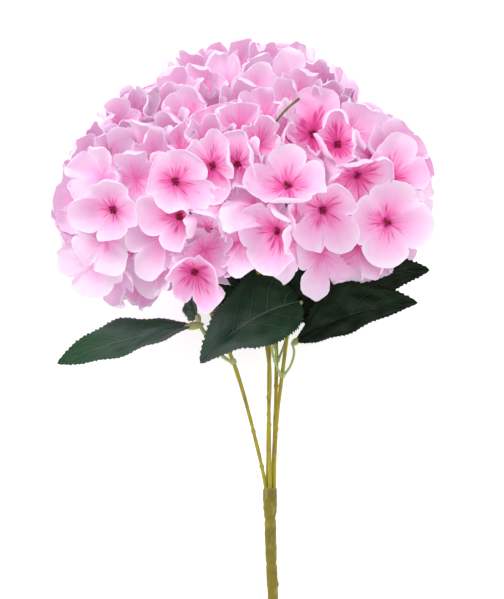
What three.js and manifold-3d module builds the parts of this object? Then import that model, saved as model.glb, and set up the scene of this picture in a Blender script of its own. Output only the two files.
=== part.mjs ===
// A cut hydrangea bunch with fabric flowers, lying on its side. A moulded stalk forks into five coated
// wire stems. Each stem carries a round head of four-petalled florets and, below it, a clipped-on pair
// of leaf stalks with a toothed leaf on each. Lengths are in millimetres, angles in degrees.
//
// The bunch is drawn upright in its own frame: origin at the fork, +X to the right, +Y up along the
// stems, +Z towards its front. The whole is then laid down, so that the back of the heads and the cut
// end of the stalk rest on the plane z = 0, and it is centred over the origin.
import * as THREE from 'three';
import { mergeVertices } from 'three/addons/utils/BufferGeometryUtils.js';
import Module from 'manifold-3d';

const wasm = await Module();
wasm.setup();

// ---- Driving dimensions -------------------------------------------------------------------------
const LIE_TILT = 11.75;           // angle between the stalk and the surface it lies on
const LIE_DROP = 27.3;            // height of the fork over that surface

const PETAL_LENGTH = 31;          // from a floret's middle to a petal's tip
const PETAL_THICKNESS = 1.0;      // measured along the floret's axis, so a sloping petal is thinner
const PETAL_INSET = 16;           // floret middles lie this far inside the head's outer radius
const FLORET_STALK = { root: 1.4, top: 2.2, sides: 3 };
const FLORET_SEATS = 160;         // places on a whole head that are tried in turn
const FLORET_SPACING = 39;        // nearest that a filled-in floret may come to another on its head
const BORDER_SPACING = 30;        // and to one on another head
const BARE_UNDERSIDE = 42;        // half-angle around the stem that carries no florets
const CORE_RADIUS = 46;
const HEAD_GAP = 0.35;            // between neighbouring heads

const STEM_RADIUS = 1.6;
const STEM_SIDES = 6;
const STEM_STEPS = 13;
const STEM_SEAT = 12;             // a stem ends this far below the middle of its head
const SEAT_GAP = 0.3;             // running gap between any two pieces that touch
const STALK_LENGTH = 115;
const STALK_SWAY = 4;             // sideways drift of the stalk at its cut end
const SOCKET_DEPTH = 14;          // how far the stems go into the stalk

const LEAF_THICKNESS = 0.9;
const LEAF_TEETH = 9;             // on each edge of a leaf
const PETIOLE_RADIUS = 1.0;
const PETIOLE_STEPS = 7;
const CUP = { radius: 2.8, height: 5, sides: 5 };    // at the end of a leaf stalk, round the leaf's base
const COLLAR_HEIGHT = 5;
const COLLAR_WALL = 1.1;

const PINK = { color: 0xf49ac8, roughness: 0.75, metalness: 0 };
const LEAF_GREEN = { color: 0x1f3a26, roughness: 0.6, metalness: 0 };
const STEM_GREEN = { color: 0x9c9a2e, roughness: 0.5, metalness: 0 };
const PALE_GREEN = { color: 0xb9c08a, roughness: 0.5, metalness: 0 };

const v3 = (x, y, z) => new THREE.Vector3(x, y, z);
const radians = THREE.MathUtils.degToRad;

// Heads: the middle, the outer radius, and the seed of the head's random draws.
const HEADS = {
  head_left: { middle: v3(-108, 232, -1), radius: 79, seed: 95 },
  head_right: { middle: v3(62, 254, -5), radius: 81, seed: 140 },
  head_front: { middle: v3(-27, 248, 56), radius: 77, seed: 273 },
  head_top_left: { middle: v3(-79, 283, -9), radius: 82, seed: 29 },
  head_top_right: { middle: v3(3, 305, -12), radius: 83, seed: 129 },
};

// Florets that show their faces at the front, by head: where the middle is seen (x, y) and the turn of
// the first petal about the floret's own axis.
const FACING_FLORETS = {
  head_left: [[-130, 237, 45], [-78, 259, 30], [-75, 231, 70]],
  head_right: [
    [42, 237, 40], [100, 226, 55], [98, 262, 20], [71, 265, 40], [56, 289, 60], [46, 192, 20],
  ],
  head_front: [[12, 251, 30], [5, 215, 70], [-62, 190, 50]],
  head_top_left: [[-48, 342, 10]],
  head_top_right: [[36, 299, 50], [-22, 352, 35]],
};

// Stems: the head that each carries, and the route of its middle line up from the fork.
const STEMS = {
  stem_left: {
    head: 'head_left',
    route: [v3(-3.5, 0, 0.9), v3(-11.2, 38, 1), v3(-30.2, 106, 2), v3(-50, 150, 2), v3(-74, 186, 0)],
  },
  stem_right: {
    head: 'head_right',
    route: [v3(3.5, 0, 0.9), v3(5.1, 51, 3), v3(10.3, 98, 3), v3(18.7, 153, 3), v3(34, 195, 0)],
  },
  stem_front: {
    head: 'head_front',
    route: [v3(0, 0, 3.5), v3(-1.1, 76, 8), v3(-0.9, 123, 9), v3(-3, 150, 11), v3(-11, 188, 24)],
  },
  stem_top_left: {
    head: 'head_top_left',
    route: [v3(-2, 0, -3), v3(-1.1, 60, -8), v3(-1, 111, -14), v3(-14, 160, -20), v3(-45, 220, -18)],
  },
  stem_top_right: {
    head: 'head_top_right',
    route: [v3(2, 0, -3), v3(4.5, 60, -6), v3(5.6, 111, -8), v3(5, 160, -14), v3(5, 230, -14)],
  },
};

// Leaf sets: the stem and the height of the collar on it, then one leaf for each stalk of the set.
// A leaf has the way points of its stalk, its spine from base to tip, the way its upper face looks (and
// looks at the tip, if it twists), its half width, and how far its two halves fold up.
const LEAF_SETS = {
  leafset_left: {
    stem: 'stem_left',
    height: 109,
    leaves: {
      leaf_left: {
        stalk: [v3(-40, 113, 7), v3(-52, 127, 12)],
        spine: [v3(-66, 140, 12), v3(-128, 130, 20), v3(-179, 108, 22)],
        half: 29, fold: 8, up: v3(0.1, 0.95, 0.3), tipUp: v3(0, 0.7, 0.7),
      },
      leaf_left_back: {
        stalk: [v3(-44, 118, -2), v3(-55, 134, -2)],
        spine: [v3(-62, 146, -6), v3(-70, 168, -28), v3(-66, 188, -62)],
        half: 21, fold: 12, up: v3(-0.6, 0.7, 0.35),
      },
    },
  },
  leafset_right: {
    stem: 'stem_right',
    height: 98,
    leaves: {
      leaf_front: {
        stalk: [v3(6, 104, 9), v3(2.2, 124, 16)],
        spine: [v3(22, 160, 24), v3(-20, 150, 56), v3(-58, 109, 52)],
        half: 31, fold: 6, up: v3(-0.3, 0.3, 0.9),
      },
      leaf_right: {
        stalk: [v3(17, 105, 5), v3(20.4, 117, 8)],
        spine: [v3(21, 127, 10), v3(62, 157, 22), v3(124, 159, 24)],
        half: 31, fold: 22, up: v3(0, 0.67, 0.74),
      },
    },
  },
  leafset_top_right: {
    stem: 'stem_top_right',
    height: 110,
    leaves: {
      leaf_middle: {
        stalk: [v3(4.5, 120, -5), v3(-2, 134, -6)],
        spine: [v3(-9, 146, -7), v3(-28, 180, -6), v3(-45, 232, 18)],
        half: 27, fold: 8, up: v3(-0.1, -0.2, 0.97),
      },
      leaf_right_inner: {
        stalk: [v3(11, 120, -7), v3(16, 134, -8)],
        spine: [v3(22, 146, -9), v3(55, 160, -22), v3(104, 172, -40)],
        half: 28, fold: 12, up: v3(-0.1, 0.6, 0.8),
      },
    },
  },
  leafset_front: {
    stem: 'stem_front',
    height: 134,
    leaves: {
      leaf_right_high: {
        stalk: [v3(6, 141, 3), v3(14, 148, -4)],
        spine: [v3(26, 159, -6), v3(80, 184, -6), v3(136, 187, -2)],
        half: 28, fold: 10, up: v3(-0.2, 0.55, 0.8),
      },
      leaf_between: {
        stalk: [v3(3, 142, 11), v3(6, 149, 11)],
        spine: [v3(7, 156, 10), v3(14, 190, 9), v3(12, 238, 38)],
        half: 22, fold: 10, up: v3(-0.35, -0.1, 0.9),
      },
    },
  },
  leafset_top_left: {
    stem: 'stem_top_left',
    height: 134,
    leaves: {
      leaf_back_left: {
        stalk: [v3(-12, 138, -24), v3(-18, 140, -30)],
        spine: [v3(-24, 146, -36), v3(-34, 178, -52), v3(-46, 236, -62)],
        half: 27, fold: 8, up: v3(0, 0, -1),
      },
      leaf_back_right: {
        stalk: [v3(4, 138, -23), v3(12, 138, -30)],
        spine: [v3(16, 144, -34), v3(30, 174, -50), v3(38, 220, -62)],
        half: 27, fold: 8, up: v3(0, 0, -1),
      },
    },
  },
};

// ---- Small tools --------------------------------------------------------------------------------
// A seeded draw of numbers from 0 to 1.
class Draw {
  constructor(seed) {
    this.state = seed * 7919 + 13;
    this.next();
    this.next();
  }

  next() {
    this.state = (this.state * 16807) % 2147483647;
    return this.state / 2147483647;
  }

  between(low, high) {
    return low + (high - low) * this.next();
  }
}

// A closed geometry as a manifold solid, and back.
function solidOf(geometry) {
  const bare = geometry.clone();
  const extra = Object.keys(bare.attributes).filter((name) => name !== 'position');
  for (const name of extra) bare.deleteAttribute(name);
  const merged = mergeVertices(bare, 1e-4);
  return new wasm.Manifold(new wasm.Mesh({
    numProp: 3,
    vertProperties: merged.attributes.position.array,
    triVerts: new Uint32Array(merged.index.array),
  }));
}

function geometryOf(solid) {
  const mesh = solid.getMesh();
  const geometry = new THREE.BufferGeometry();
  geometry.setAttribute('position', new THREE.BufferAttribute(new Float32Array(mesh.vertProperties), 3));
  geometry.setIndex(new THREE.BufferAttribute(mesh.triVerts, 1));
  geometry.computeVertexNormals();
  return geometry;
}

// The largest body of a solid, with sealed hollows filled and loose scraps left out.
function mainBody(solid) {
  return solid.decompose().reduce((best, body) => (body.volume() > best.volume() ? body : best));
}

// A closed solid from an upper and a lower skin with the same triangles, joined round the rim.
function twoSkins(upper, lower, triangles, rim) {
  const points = [...upper, ...lower].flatMap((p) => [p.x, p.y, p.z]);
  const n = upper.length;
  const index = triangles.flatMap(([a, b, c]) => [a, b, c, n + a, n + c, n + b]);
  rim.forEach((a, i) => {
    const b = rim[(i + 1) % rim.length];
    index.push(a, n + a, n + b, a, n + b, b);
  });
  const geometry = new THREE.BufferGeometry();
  geometry.setAttribute('position', new THREE.Float32BufferAttribute(points, 3));
  geometry.setIndex(index);
  return geometry;
}

// A tube of round section along a route, with closed ends.
function tube(route, radius, steps, sides = STEM_SIDES) {
  const section = new THREE.Shape(Array.from({ length: sides }, (_, i) => {
    const turn = (i / sides) * Math.PI * 2;
    return new THREE.Vector2(Math.cos(turn) * radius, Math.sin(turn) * radius);
  }));
  const extrudePath = new THREE.CatmullRomCurve3(route, false, 'centripetal');
  return new THREE.ExtrudeGeometry(section, { steps, extrudePath, bevelEnabled: false });
}

// A solid of the bunch, cut where it would reach below the surface that it lies on.
function lieFlat(solid) {
  const up = v3(0, Math.sin(radians(LIE_TILT)), Math.cos(radians(LIE_TILT)));
  return solid.trimByPlane(up.toArray(), -LIE_DROP);
}

// ---- Florets and heads --------------------------------------------------------------------------
// Height of a floret's surface over its middle, as a share of the petal length, at the share q of the
// petal length from the middle and the angle off the petal's own line.
function petalHeight(q, off, floret, petal) {
  const across = Math.cos(2 * off) ** 2;
  return q * q * (floret.lifts[petal] * across + floret.valley * (1 - across));
}

// Outline of one petal as [share of the petal length, angle off the petal's line]. The first point is
// the notch that it shares with the petal before it.
const PETAL_OUTLINE = [[0.56, -45], [0.98, -24], [0.98, 24]];
const PETAL_MIDDLE = 0.55;        // share of the petal length at which a petal bends

// One floret in its own frame: middle at the origin, axis along +Z, four petals in one thin blade.
function floretGeometry(floret) {
  const place = (q, petal, off) => {
    const angle = radians(90 * petal + off);
    const reach = q * floret.length;
    const height = petalHeight(q, radians(off), floret, petal) * floret.length;
    return v3(Math.cos(angle) * reach, Math.sin(angle) * reach, height);
  };
  const points = [v3(0, 0, 0)];
  for (let petal = 0; petal < 4; petal += 1) points.push(place(PETAL_MIDDLE, petal, 0));
  for (let petal = 0; petal < 4; petal += 1) {
    points.push(...PETAL_OUTLINE.map(([q, off]) => place(q, petal, off)));
  }
  const triangles = [];
  for (let petal = 0; petal < 4; petal += 1) {
    const line = 1 + petal;
    const nextLine = 1 + ((petal + 1) % 4);
    const rim = (i) => 5 + ((3 * petal + i) % 12);
    triangles.push([0, line, rim(3)], [0, rim(3), nextLine]);
    triangles.push([line, rim(0), rim(1)], [line, rim(1), rim(2)], [line, rim(2), rim(3)]);
  }
  const rim = Array.from({ length: 12 }, (_, i) => 5 + i);
  const shift = v3(0, 0, PETAL_THICKNESS);
  return twoSkins(points.map((p) => p.clone().add(shift)), points, triangles, rim);
}

// The random draws of one floret. A facing one is nearly flat and leans to the front, a filled-in one
// is cupped.
function drawFloret(draw, facing) {
  const cup = facing ? 0.05 : draw.between(0.05, 0.4);
  const spread = facing ? 0.14 : 0.2;
  return {
    length: PETAL_LENGTH * draw.between(0.9, 1.04),
    lifts: [0, 1, 2, 3].map(() => cup + draw.between(-spread, spread)),
    valley: cup * 0.8 + draw.between(-0.1, 0.1),
    lean: [0, 1, 2].map(() => draw.between(-0.2, 0.2)),
    sink: facing ? 0 : draw.between(-5, 2),
  };
}

// Where every floret of every head sits: its middle, its axis and its own draws. The facing florets
// come first, and a spiral of even spacing then fills the rest of each head.
function placeFlorets() {
  const placed = [];
  const seat = (head, direction, own) => (
    HEADS[head].middle.clone().addScaledVector(direction, HEADS[head].radius - PETAL_INSET + own.sink));
  for (const [head, faces] of Object.entries(FACING_FLORETS)) {
    const { middle, radius, seed } = HEADS[head];
    const draw = new Draw(seed + 500);
    for (const [x, y, turn] of faces) {
      const own = drawFloret(draw, true);
      const reach = radius - PETAL_INSET;
      const direction = v3(x - middle.x, y - middle.y, 0).clampLength(0, reach * 0.9);
      direction.z = Math.sqrt(reach * reach - direction.lengthSq());
      direction.normalize();
      const axis = direction.clone().add(v3(...own.lean)).add(v3(0, 0, 0.5)).normalize();
      placed.push({ head, at: seat(head, direction, own), axis, turn, ...own });
    }
  }
  for (const [head, { middle, radius, seed }] of Object.entries(HEADS)) {
    const draw = new Draw(seed);
    const spin = draw.between(0, Math.PI * 2);
    const { route } = Object.values(STEMS).find((stem) => stem.head === head);
    const down = route[route.length - 1].clone().sub(middle).normalize();
    for (let i = 0; i < FLORET_SEATS; i += 1) {
      const z = 1 - (2 * i + 1) / FLORET_SEATS;
      const angle = i * Math.PI * (3 - Math.sqrt(5)) + spin;
      const ring = Math.sqrt(1 - z * z);
      const direction = v3(Math.cos(angle) * ring, Math.sin(angle) * ring, z);
      const own = drawFloret(draw, false);
      const turn = draw.between(0, 90);
      const at = seat(head, direction, own);
      const buried = Object.entries(HEADS).some(([other, h]) => (
        other !== head && at.distanceTo(h.middle) / h.radius < at.distanceTo(middle) / radius));
      const crowded = placed.some((floret) => (
        floret.at.distanceTo(at) < (floret.head === head ? FLORET_SPACING : BORDER_SPACING)));
      const bare = direction.angleTo(down) < radians(BARE_UNDERSIDE);
      if (buried || crowded || bare) continue;
      const axis = direction.clone().add(v3(...own.lean)).normalize();
      placed.push({ head, at, axis, turn, ...own });
    }
  }
  return placed;
}

// A matrix that carries a floret's own frame to its place.
function floretMatrix({ at, axis, turn }) {
  const face = new THREE.Quaternion().setFromUnitVectors(v3(0, 0, 1), axis);
  const roll = new THREE.Quaternion().setFromAxisAngle(v3(0, 0, 1), radians(turn));
  return new THREE.Matrix4().compose(at, face.multiply(roll), v3(1, 1, 1));
}

// A floret's stalk: a slim cone from inside the core to just inside the middle of the floret.
function floretStalk(middle, { at, axis }) {
  const from = middle.clone().lerp(at, 0.5);
  const to = at.clone().addScaledVector(axis, PETAL_THICKNESS * 0.6);
  const along = to.clone().sub(from);
  const cone = new THREE.CylinderGeometry(
    FLORET_STALK.top, FLORET_STALK.root, along.length(), FLORET_STALK.sides);
  const turn = new THREE.Quaternion().setFromUnitVectors(v3(0, 1, 0), along.clone().normalize());
  return cone.applyQuaternion(turn).translate(...from.clone().lerp(to, 0.5).toArray());
}

// A head: a core with florets round it on short stalks. It gives way to each other head along a plane
// between the two.
function headSolid(name, florets, clearings) {
  const { middle, radius } = HEADS[name];
  const own = florets.filter((floret) => floret.head === name);
  const pieces = [solidOf(new THREE.IcosahedronGeometry(CORE_RADIUS, 1).translate(...middle.toArray()))];
  for (const floret of own) {
    pieces.push(solidOf(floretGeometry(floret).applyMatrix4(floretMatrix(floret))));
    pieces.push(solidOf(floretStalk(middle, floret)));
  }
  let head = wasm.Manifold.union(pieces);
  for (const [other, h] of Object.entries(HEADS)) {
    if (other === name) continue;
    const border = middle.clone().lerp(h.middle, radius / (radius + h.radius));
    const normal = middle.clone().sub(h.middle).normalize();
    head = head.trimByPlane(normal.toArray(), border.dot(normal) + HEAD_GAP / 2);
  }
  for (const clearing of clearings) head = head.subtract(clearing);
  return mainBody(lieFlat(head));
}

// ---- Stalk and stems ----------------------------------------------------------------------------
function stemRoute(name, extend = 0) {
  const { head, route } = STEMS[name];
  const { middle } = HEADS[head];
  const last = route[route.length - 1];
  const seat = middle.clone().lerp(last, STEM_SEAT / middle.distanceTo(last));
  const first = route[0].clone();
  const into = first.clone().setY(first.y - SOCKET_DEPTH - extend);
  return [into, first, ...route.slice(1), seat];
}

const stemGeometry = (name, grow = 0) => tube(stemRoute(name, grow), STEM_RADIUS + grow, STEM_STEPS);

// Radius of the stalk at heights below the fork: swollen round the stems, then two joints.
const STALK_PROFILE = [
  [2.5, 5.2], [0.5, 5.9], [-6, 6.1], [-16, 5.8], [-22, 5.0], [-25, 4.3], [-28, 5.0], [-50, 4.9],
  [-60, 4.7], [-62.5, 4.1], [-65, 4.7], [-78, 4.5], [-80.5, 4.9], [-83, 4.4], [-STALK_LENGTH, 4.3],
];

function stalkSolid(stems) {
  const profile = [new THREE.Vector2(0, 2.5), ...STALK_PROFILE.map(([y, r]) => new THREE.Vector2(r, y)),
    new THREE.Vector2(0, -STALK_LENGTH)];
  const lathe = new THREE.LatheGeometry(profile.reverse(), 10);
  const position = lathe.attributes.position;
  for (let i = 0; i < position.count; i += 1) {
    const down = Math.min(0, position.getY(i)) / STALK_LENGTH;
    position.setX(i, position.getX(i) + STALK_SWAY * down * down);
  }
  let stalk = solidOf(lathe);
  for (const stem of stems) stalk = stalk.subtract(stem);
  return mainBody(lieFlat(stalk));
}

// ---- Leaves -------------------------------------------------------------------------------------
// Half width of a leaf at the share t of its length, as a share of its greatest half width.
const leafWidth = (t) => Math.max(0, Math.sin(Math.PI * t ** 0.8)) ** 0.75 * (1 - 0.25 * t) * 1.12;

// A point of the leaf: t from the base to the tip, s from -1 to 1 across, lift along the face.
function leafPoint(leaf, t, s, lift) {
  const spine = new THREE.QuadraticBezierCurve3(...leaf.spine);
  const along = spine.getTangent(Math.min(t, 1));
  const up = leaf.up.clone().lerp(leaf.tipUp ?? leaf.up, t);
  const side = new THREE.Vector3().crossVectors(along, up).normalize();
  const face = new THREE.Vector3().crossVectors(side, along).normalize();
  const reach = s * leaf.half * leafWidth(t);
  return spine.getPoint(Math.min(t, 1))
    .addScaledVector(along, Math.max(0, t - 1))
    .addScaledVector(side, reach * Math.cos(radians(leaf.fold)))
    .addScaledVector(face, Math.abs(reach) * Math.sin(radians(leaf.fold)) + lift);
}

// A toothed blade. With grow set, it is fatter all round, to clear room for it in its neighbours.
function leafGeometry(leaf, grow = 0) {
  const rows = [];
  for (let i = 0; i < LEAF_TEETH; i += 1) {
    const start = (i + 0.35) / (LEAF_TEETH + 0.35);
    const point = start + 0.75 / (LEAF_TEETH + 0.35);
    rows.push([start, 0.93 + grow / leaf.half], [point, 1.05 + grow / leaf.half]);
  }
  const skin = (lift) => {
    const points = [leafPoint(leaf, 0, 0, lift)];
    for (const [t, spread] of rows) {
      points.push(...[-spread, 0, spread].map((s) => leafPoint(leaf, t, s, lift)));
    }
    points.push(leafPoint(leaf, 1 + grow, 0, lift));
    return points;
  };
  const last = 1 + 3 * rows.length;
  const triangles = [[0, 2, 1], [0, 3, 2]];
  for (let i = 0; i < rows.length - 1; i += 1) {
    const [a, b, c] = [1 + 3 * i, 2 + 3 * i, 3 + 3 * i];
    triangles.push([a, b, b + 3], [a, b + 3, a + 3], [b, c, c + 3], [b, c + 3, b + 3]);
  }
  const [a, b, c] = [last - 3, last - 2, last - 1];
  triangles.push([a, b, last], [b, c, last]);
  const rim = [0, ...rows.map((_, i) => 3 + 3 * i), last, ...rows.map((_, i) => 1 + 3 * i).reverse()];
  const thick = LEAF_THICKNESS / 2 + grow;
  return twoSkins(skin(thick), skin(-thick), triangles, rim);
}

// A collar round the stem with one curved stalk for each leaf, and a small cup that holds its base.
function leafsetSolid({ stem, height, leaves }) {
  const route = new THREE.CatmullRomCurve3(stemRoute(stem), false, 'centripetal');
  const samples = route.getSpacedPoints(400);
  const at = samples.findIndex((point) => point.y > height);
  const along = samples[at + 1].clone().sub(samples[at]).normalize();
  const outer = STEM_RADIUS + SEAT_GAP + COLLAR_WALL;
  const turn = new THREE.Quaternion().setFromUnitVectors(v3(0, 1, 0), along);
  const collar = new THREE.CylinderGeometry(outer, outer * 0.9, COLLAR_HEIGHT, 8)
    .applyQuaternion(turn).translate(...samples[at].toArray());
  const pieces = [solidOf(collar)];
  for (const leaf of Object.values(leaves)) {
    const base = leaf.spine[0];
    const heading = leaf.spine[1].clone().sub(base).normalize();
    const sideways = leaf.stalk[0].clone().sub(samples[at]);
    sideways.addScaledVector(along, -sideways.dot(along)).normalize();
    const root = samples[at].clone().addScaledVector(sideways, outer - 0.6);
    const seat = base.clone().addScaledVector(heading, -SEAT_GAP);
    const neck = seat.clone().addScaledVector(heading, -4);
    pieces.push(solidOf(tube([root, ...leaf.stalk, neck, seat], PETIOLE_RADIUS, PETIOLE_STEPS, 4)));
    const cup = new THREE.CylinderGeometry(CUP.radius, PETIOLE_RADIUS, CUP.height, CUP.sides)
      .translate(0, -CUP.height / 2, 0)
      .applyQuaternion(new THREE.Quaternion().setFromUnitVectors(v3(0, 1, 0), heading));
    pieces.push(solidOf(cup.translate(...seat.toArray())));
  }
  return wasm.Manifold.union(pieces);
}

// ---- Assembly -----------------------------------------------------------------------------------
const bunch = new THREE.Group();

function addNode(name, solid, look) {
  const mesh = new THREE.Mesh(geometryOf(solid), new THREE.MeshStandardMaterial(look));
  mesh.name = name;
  bunch.add(mesh);
}

const stemNames = Object.keys(STEMS);
const grownStems = stemNames.map((name) => solidOf(stemGeometry(name, SEAT_GAP)));
for (const name of stemNames) addNode(name, solidOf(stemGeometry(name)), STEM_GREEN);
addNode('stalk', stalkSolid(grownStems), STEM_GREEN);

const clearings = [...grownStems];
for (const [name, set] of Object.entries(LEAF_SETS)) {
  let solid = leafsetSolid(set);
  for (const stem of grownStems) solid = solid.subtract(stem);
  addNode(name, mainBody(solid), PALE_GREEN);
  clearings.push(solid);
}
const leaves = Object.values(LEAF_SETS).flatMap((set) => Object.entries(set.leaves));
const leafClearings = [];
for (const [name, leaf] of leaves) {
  let solid = solidOf(leafGeometry(leaf));
  for (const clearing of [...clearings, ...leafClearings]) solid = solid.subtract(clearing);
  addNode(name, mainBody(solid), LEAF_GREEN);
  leafClearings.push(solidOf(leafGeometry(leaf, SEAT_GAP)));
}

const florets = placeFlorets();
for (const name of Object.keys(HEADS)) {
  addNode(name, headSolid(name, florets, [...clearings, ...leafClearings]), PINK);
}

bunch.rotation.x = radians(LIE_TILT);
bunch.position.z = LIE_DROP;
const lying = new THREE.Group().add(bunch);
const box = new THREE.Box3().setFromObject(lying, true);
lying.position.set(-(box.min.x + box.max.x) / 2, -(box.min.y + box.max.y) / 2, -box.min.z);

export default lying;
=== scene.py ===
"""Dresses a cut hydrangea bunch with fabric flowers that lies on its side.

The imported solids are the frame. Shapes are drawn in the bunch's own frame, in millimetres: origin at the fork
of the stems, +X to the right, +Y up along the stems, +Z towards the front. BunchFrame then lays them down in
the row frame, in metres. Each head's petals, beads and floret stalks, each leaf, stem and leaf-stalk set, and
the stalk are pieces of their own.
"""
import logging
import math
from dataclasses import dataclass, replace
from enum import Enum
from random import Random
from typing import Any, Sequence

import bpy
import numpy as np
from mathutils import Matrix, Vector


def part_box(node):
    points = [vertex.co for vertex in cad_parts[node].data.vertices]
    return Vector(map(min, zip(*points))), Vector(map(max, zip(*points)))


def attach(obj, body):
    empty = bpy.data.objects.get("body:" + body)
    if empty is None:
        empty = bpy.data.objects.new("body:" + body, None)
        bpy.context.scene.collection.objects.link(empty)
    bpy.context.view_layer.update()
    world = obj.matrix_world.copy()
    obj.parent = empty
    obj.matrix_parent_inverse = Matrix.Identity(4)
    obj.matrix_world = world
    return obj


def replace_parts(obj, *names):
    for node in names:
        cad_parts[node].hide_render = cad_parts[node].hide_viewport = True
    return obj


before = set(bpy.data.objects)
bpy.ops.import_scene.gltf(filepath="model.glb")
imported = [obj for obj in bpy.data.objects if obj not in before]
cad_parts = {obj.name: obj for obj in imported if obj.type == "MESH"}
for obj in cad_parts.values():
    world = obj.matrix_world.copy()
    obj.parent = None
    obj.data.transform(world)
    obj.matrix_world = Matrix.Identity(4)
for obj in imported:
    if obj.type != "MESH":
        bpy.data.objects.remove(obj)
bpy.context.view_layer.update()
LOG = logging.getLogger("hydrangea")

Array = np.ndarray

# ---- Driving dimensions, in millimetres and degrees ------------------------------------------------------
LIE_TILT = 11.75                # angle between the stalk and the surface it lies on
LIE_DROP = 27.3                 # height of the fork over that surface

PETAL_LENGTH = 31.0
PETAL_INSET = 16.0              # floret middles lie this far inside the head's outer radius
FLORET_SEATS = 160
FLORET_SPACING = 39.0
BORDER_SPACING = 30.0
BARE_UNDERSIDE = 42.0           # degrees about the stem in which a head has no florets

CAMERA_AIM = (-15.3, 161.9)     # the point of the bunch's own frame that the camera looks at
CAMERA_DISTANCE = 1800.0

STEM_RADIUS = 1.6
SOCKET_DEPTH = 14.0
STEM_SEAT = 12.0                # a stem ends this far below the middle of its head
STALK_LENGTH = 115.0
STALK_SWAY = 4.0


class Slot(Enum):
    """The record's material slots."""

    PETAL = "petal"
    LEAF = "leaf"
    STEM = "stem"
    STALK = "stalk"
    LEAF_STALK = "leaf_stalk"


# ---- Small tools -----------------------------------------------------------------------------------------
def vec(*numbers: float) -> Array:
    """Numbers as an array of floats."""
    return np.array(numbers, float)


def unit(v: Array) -> Array:
    """A vector, or each row of an array of vectors, at length 1."""
    return v / np.maximum(np.linalg.norm(v, axis=-1, keepdims=True), 1e-9)


def smooth(value: Array | float, low: float, high: float) -> Array:
    """A smooth step from 0 at low to 1 at high.

    Args:
        value: Where the step is read.
        low: The value below which it is 0.
        high: The value above which it is 1.

    Returns:
        The height of the step.
    """
    t = np.clip((np.asarray(value, float) - low) / (high - low), 0, 1)
    return t * t * (3 - 2 * t)


class Draw:
    """The seeded draw of numbers from 0 to 1 that also places the solids."""

    def __init__(self, seed: int) -> None:
        """Starts the draw at a seed."""
        self.state = seed * 7919 + 13
        self.next()
        self.next()

    def next(self) -> float:
        """The next number from 0 to 1."""
        self.state = (self.state * 16807) % 2147483647
        return self.state / 2147483647

    def between(self, low: float, high: float) -> float:
        """The next number from low to high."""
        return low + (high - low) * self.next()


class BunchFrame:
    """Lays the bunch down: its own frame in millimetres to the row frame in metres."""

    WIDEST_RING = 5.79          # from the stalk's middle line to its low side in X
    END_RADIUS = 4.3

    def __init__(self) -> None:
        """Finds from the stalk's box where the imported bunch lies."""
        tilt = math.radians(LIE_TILT)
        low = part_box("stalk")[0] * 1000
        along = STALK_LENGTH * math.cos(tilt) + self.END_RADIUS * math.sin(tilt)
        self.turn = np.array(Matrix.Rotation(tilt, 3, "X"))
        self.shift = vec(low.x + self.WIDEST_RING, low.y + along, LIE_DROP)

    def to_row(self, points: Array, rests: bool = False) -> Array:
        """Points in the row frame.

        Args:
            points: Points of the bunch, in millimetres.
            rests: Whether cloth that would reach below the surface bends to lie on it.

        Returns:
            The points in metres.
        """
        laid = points @ self.turn.T + self.shift
        if rests:
            laid[:, 2] = self.above_surface(laid[:, 2])
        return laid / 1000

    @staticmethod
    def above_surface(height: Array, least: float = 0.35, bend: float = 1.3) -> Array:
        """Heights that turn smoothly to the least height where they would pass below the surface."""
        return least + bend * np.logaddexp(0, (height - least) / bend)


class MeshData:
    """Points, faces and point values that are gathered before one mesh is made of them."""

    def __init__(self) -> None:
        """Starts empty."""
        self.points: list[Array] = []
        self.faces: list[list[int]] = []
        self.values: dict[str, list[Array]] = {}
        self.count = 0

    def add(self, points: Array, faces: list[Array], **values: Array) -> None:
        """Adds one closed shape.

        Args:
            points: Its points, in millimetres in the bunch's frame.
            faces: Arrays of faces, all faces of one array with the same number of corners.
            values: A value for each point by attribute name, a number or three numbers.
        """
        self.points.append(points)
        for group in faces:
            self.faces.extend((np.asarray(group) + self.count).tolist())
        for name, value in values.items():
            self.values.setdefault(name, []).append(np.asarray(value, float))
        self.count += len(points)

    def make(self, name: str, finish: "Finish", slot: Slot, laid: BunchFrame, rests: bool = False,
             crease: float = 52.0) -> bpy.types.Object:
        """Makes the piece and lets it ride on the bunch.

        Args:
            name: The piece's name.
            finish: What its surface is.
            slot: The record's slot for that finish. It is not used.
            laid: Where the bunch lies.
            rests: Whether it is cloth that bends where it meets the surface.
            crease: The angle above which an edge stays sharp.

        Returns:
            The piece.
        """
        mesh = bpy.data.meshes.new(name)
        points = laid.to_row(np.concatenate(self.points), rests)
        mesh.from_pydata(points.tolist(), [], self.faces)
        for key, parts in self.values.items():
            data = np.concatenate(parts)
            vector = data.ndim == 2
            kind = "FLOAT_VECTOR" if vector else "FLOAT"
            attribute = mesh.attributes.new(key, kind, "POINT")
            attribute.data.foreach_set("vector" if vector else "value", data.astype(np.float32).ravel())
        mesh.shade_smooth()
        mesh.set_sharp_from_angle(angle=math.radians(crease))
        mesh.materials.append(finish.material())
        piece = bpy.data.objects.new(name, mesh)
        bpy.context.scene.collection.objects.link(piece)
        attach(piece, "root")
        LOG.info("%s: %d faces", name, len(mesh.polygons))
        return piece


def grid_faces(rows: int, columns: int, wrap: bool = False) -> Array:
    """The quads of a grid of points.

    Args:
        rows: Number of rows.
        columns: Number of points in a row.
        wrap: Whether each row closes on itself.

    Returns:
        One face in each row of the array.
    """
    r, c = np.meshgrid(np.arange(rows - 1), np.arange(columns if wrap else columns - 1), indexing="ij")
    after = (c + 1) % columns
    corners = [r * columns + c, (r + 1) * columns + c, (r + 1) * columns + after, r * columns + after]
    return np.stack([corner.ravel() for corner in corners], axis=1)


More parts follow.
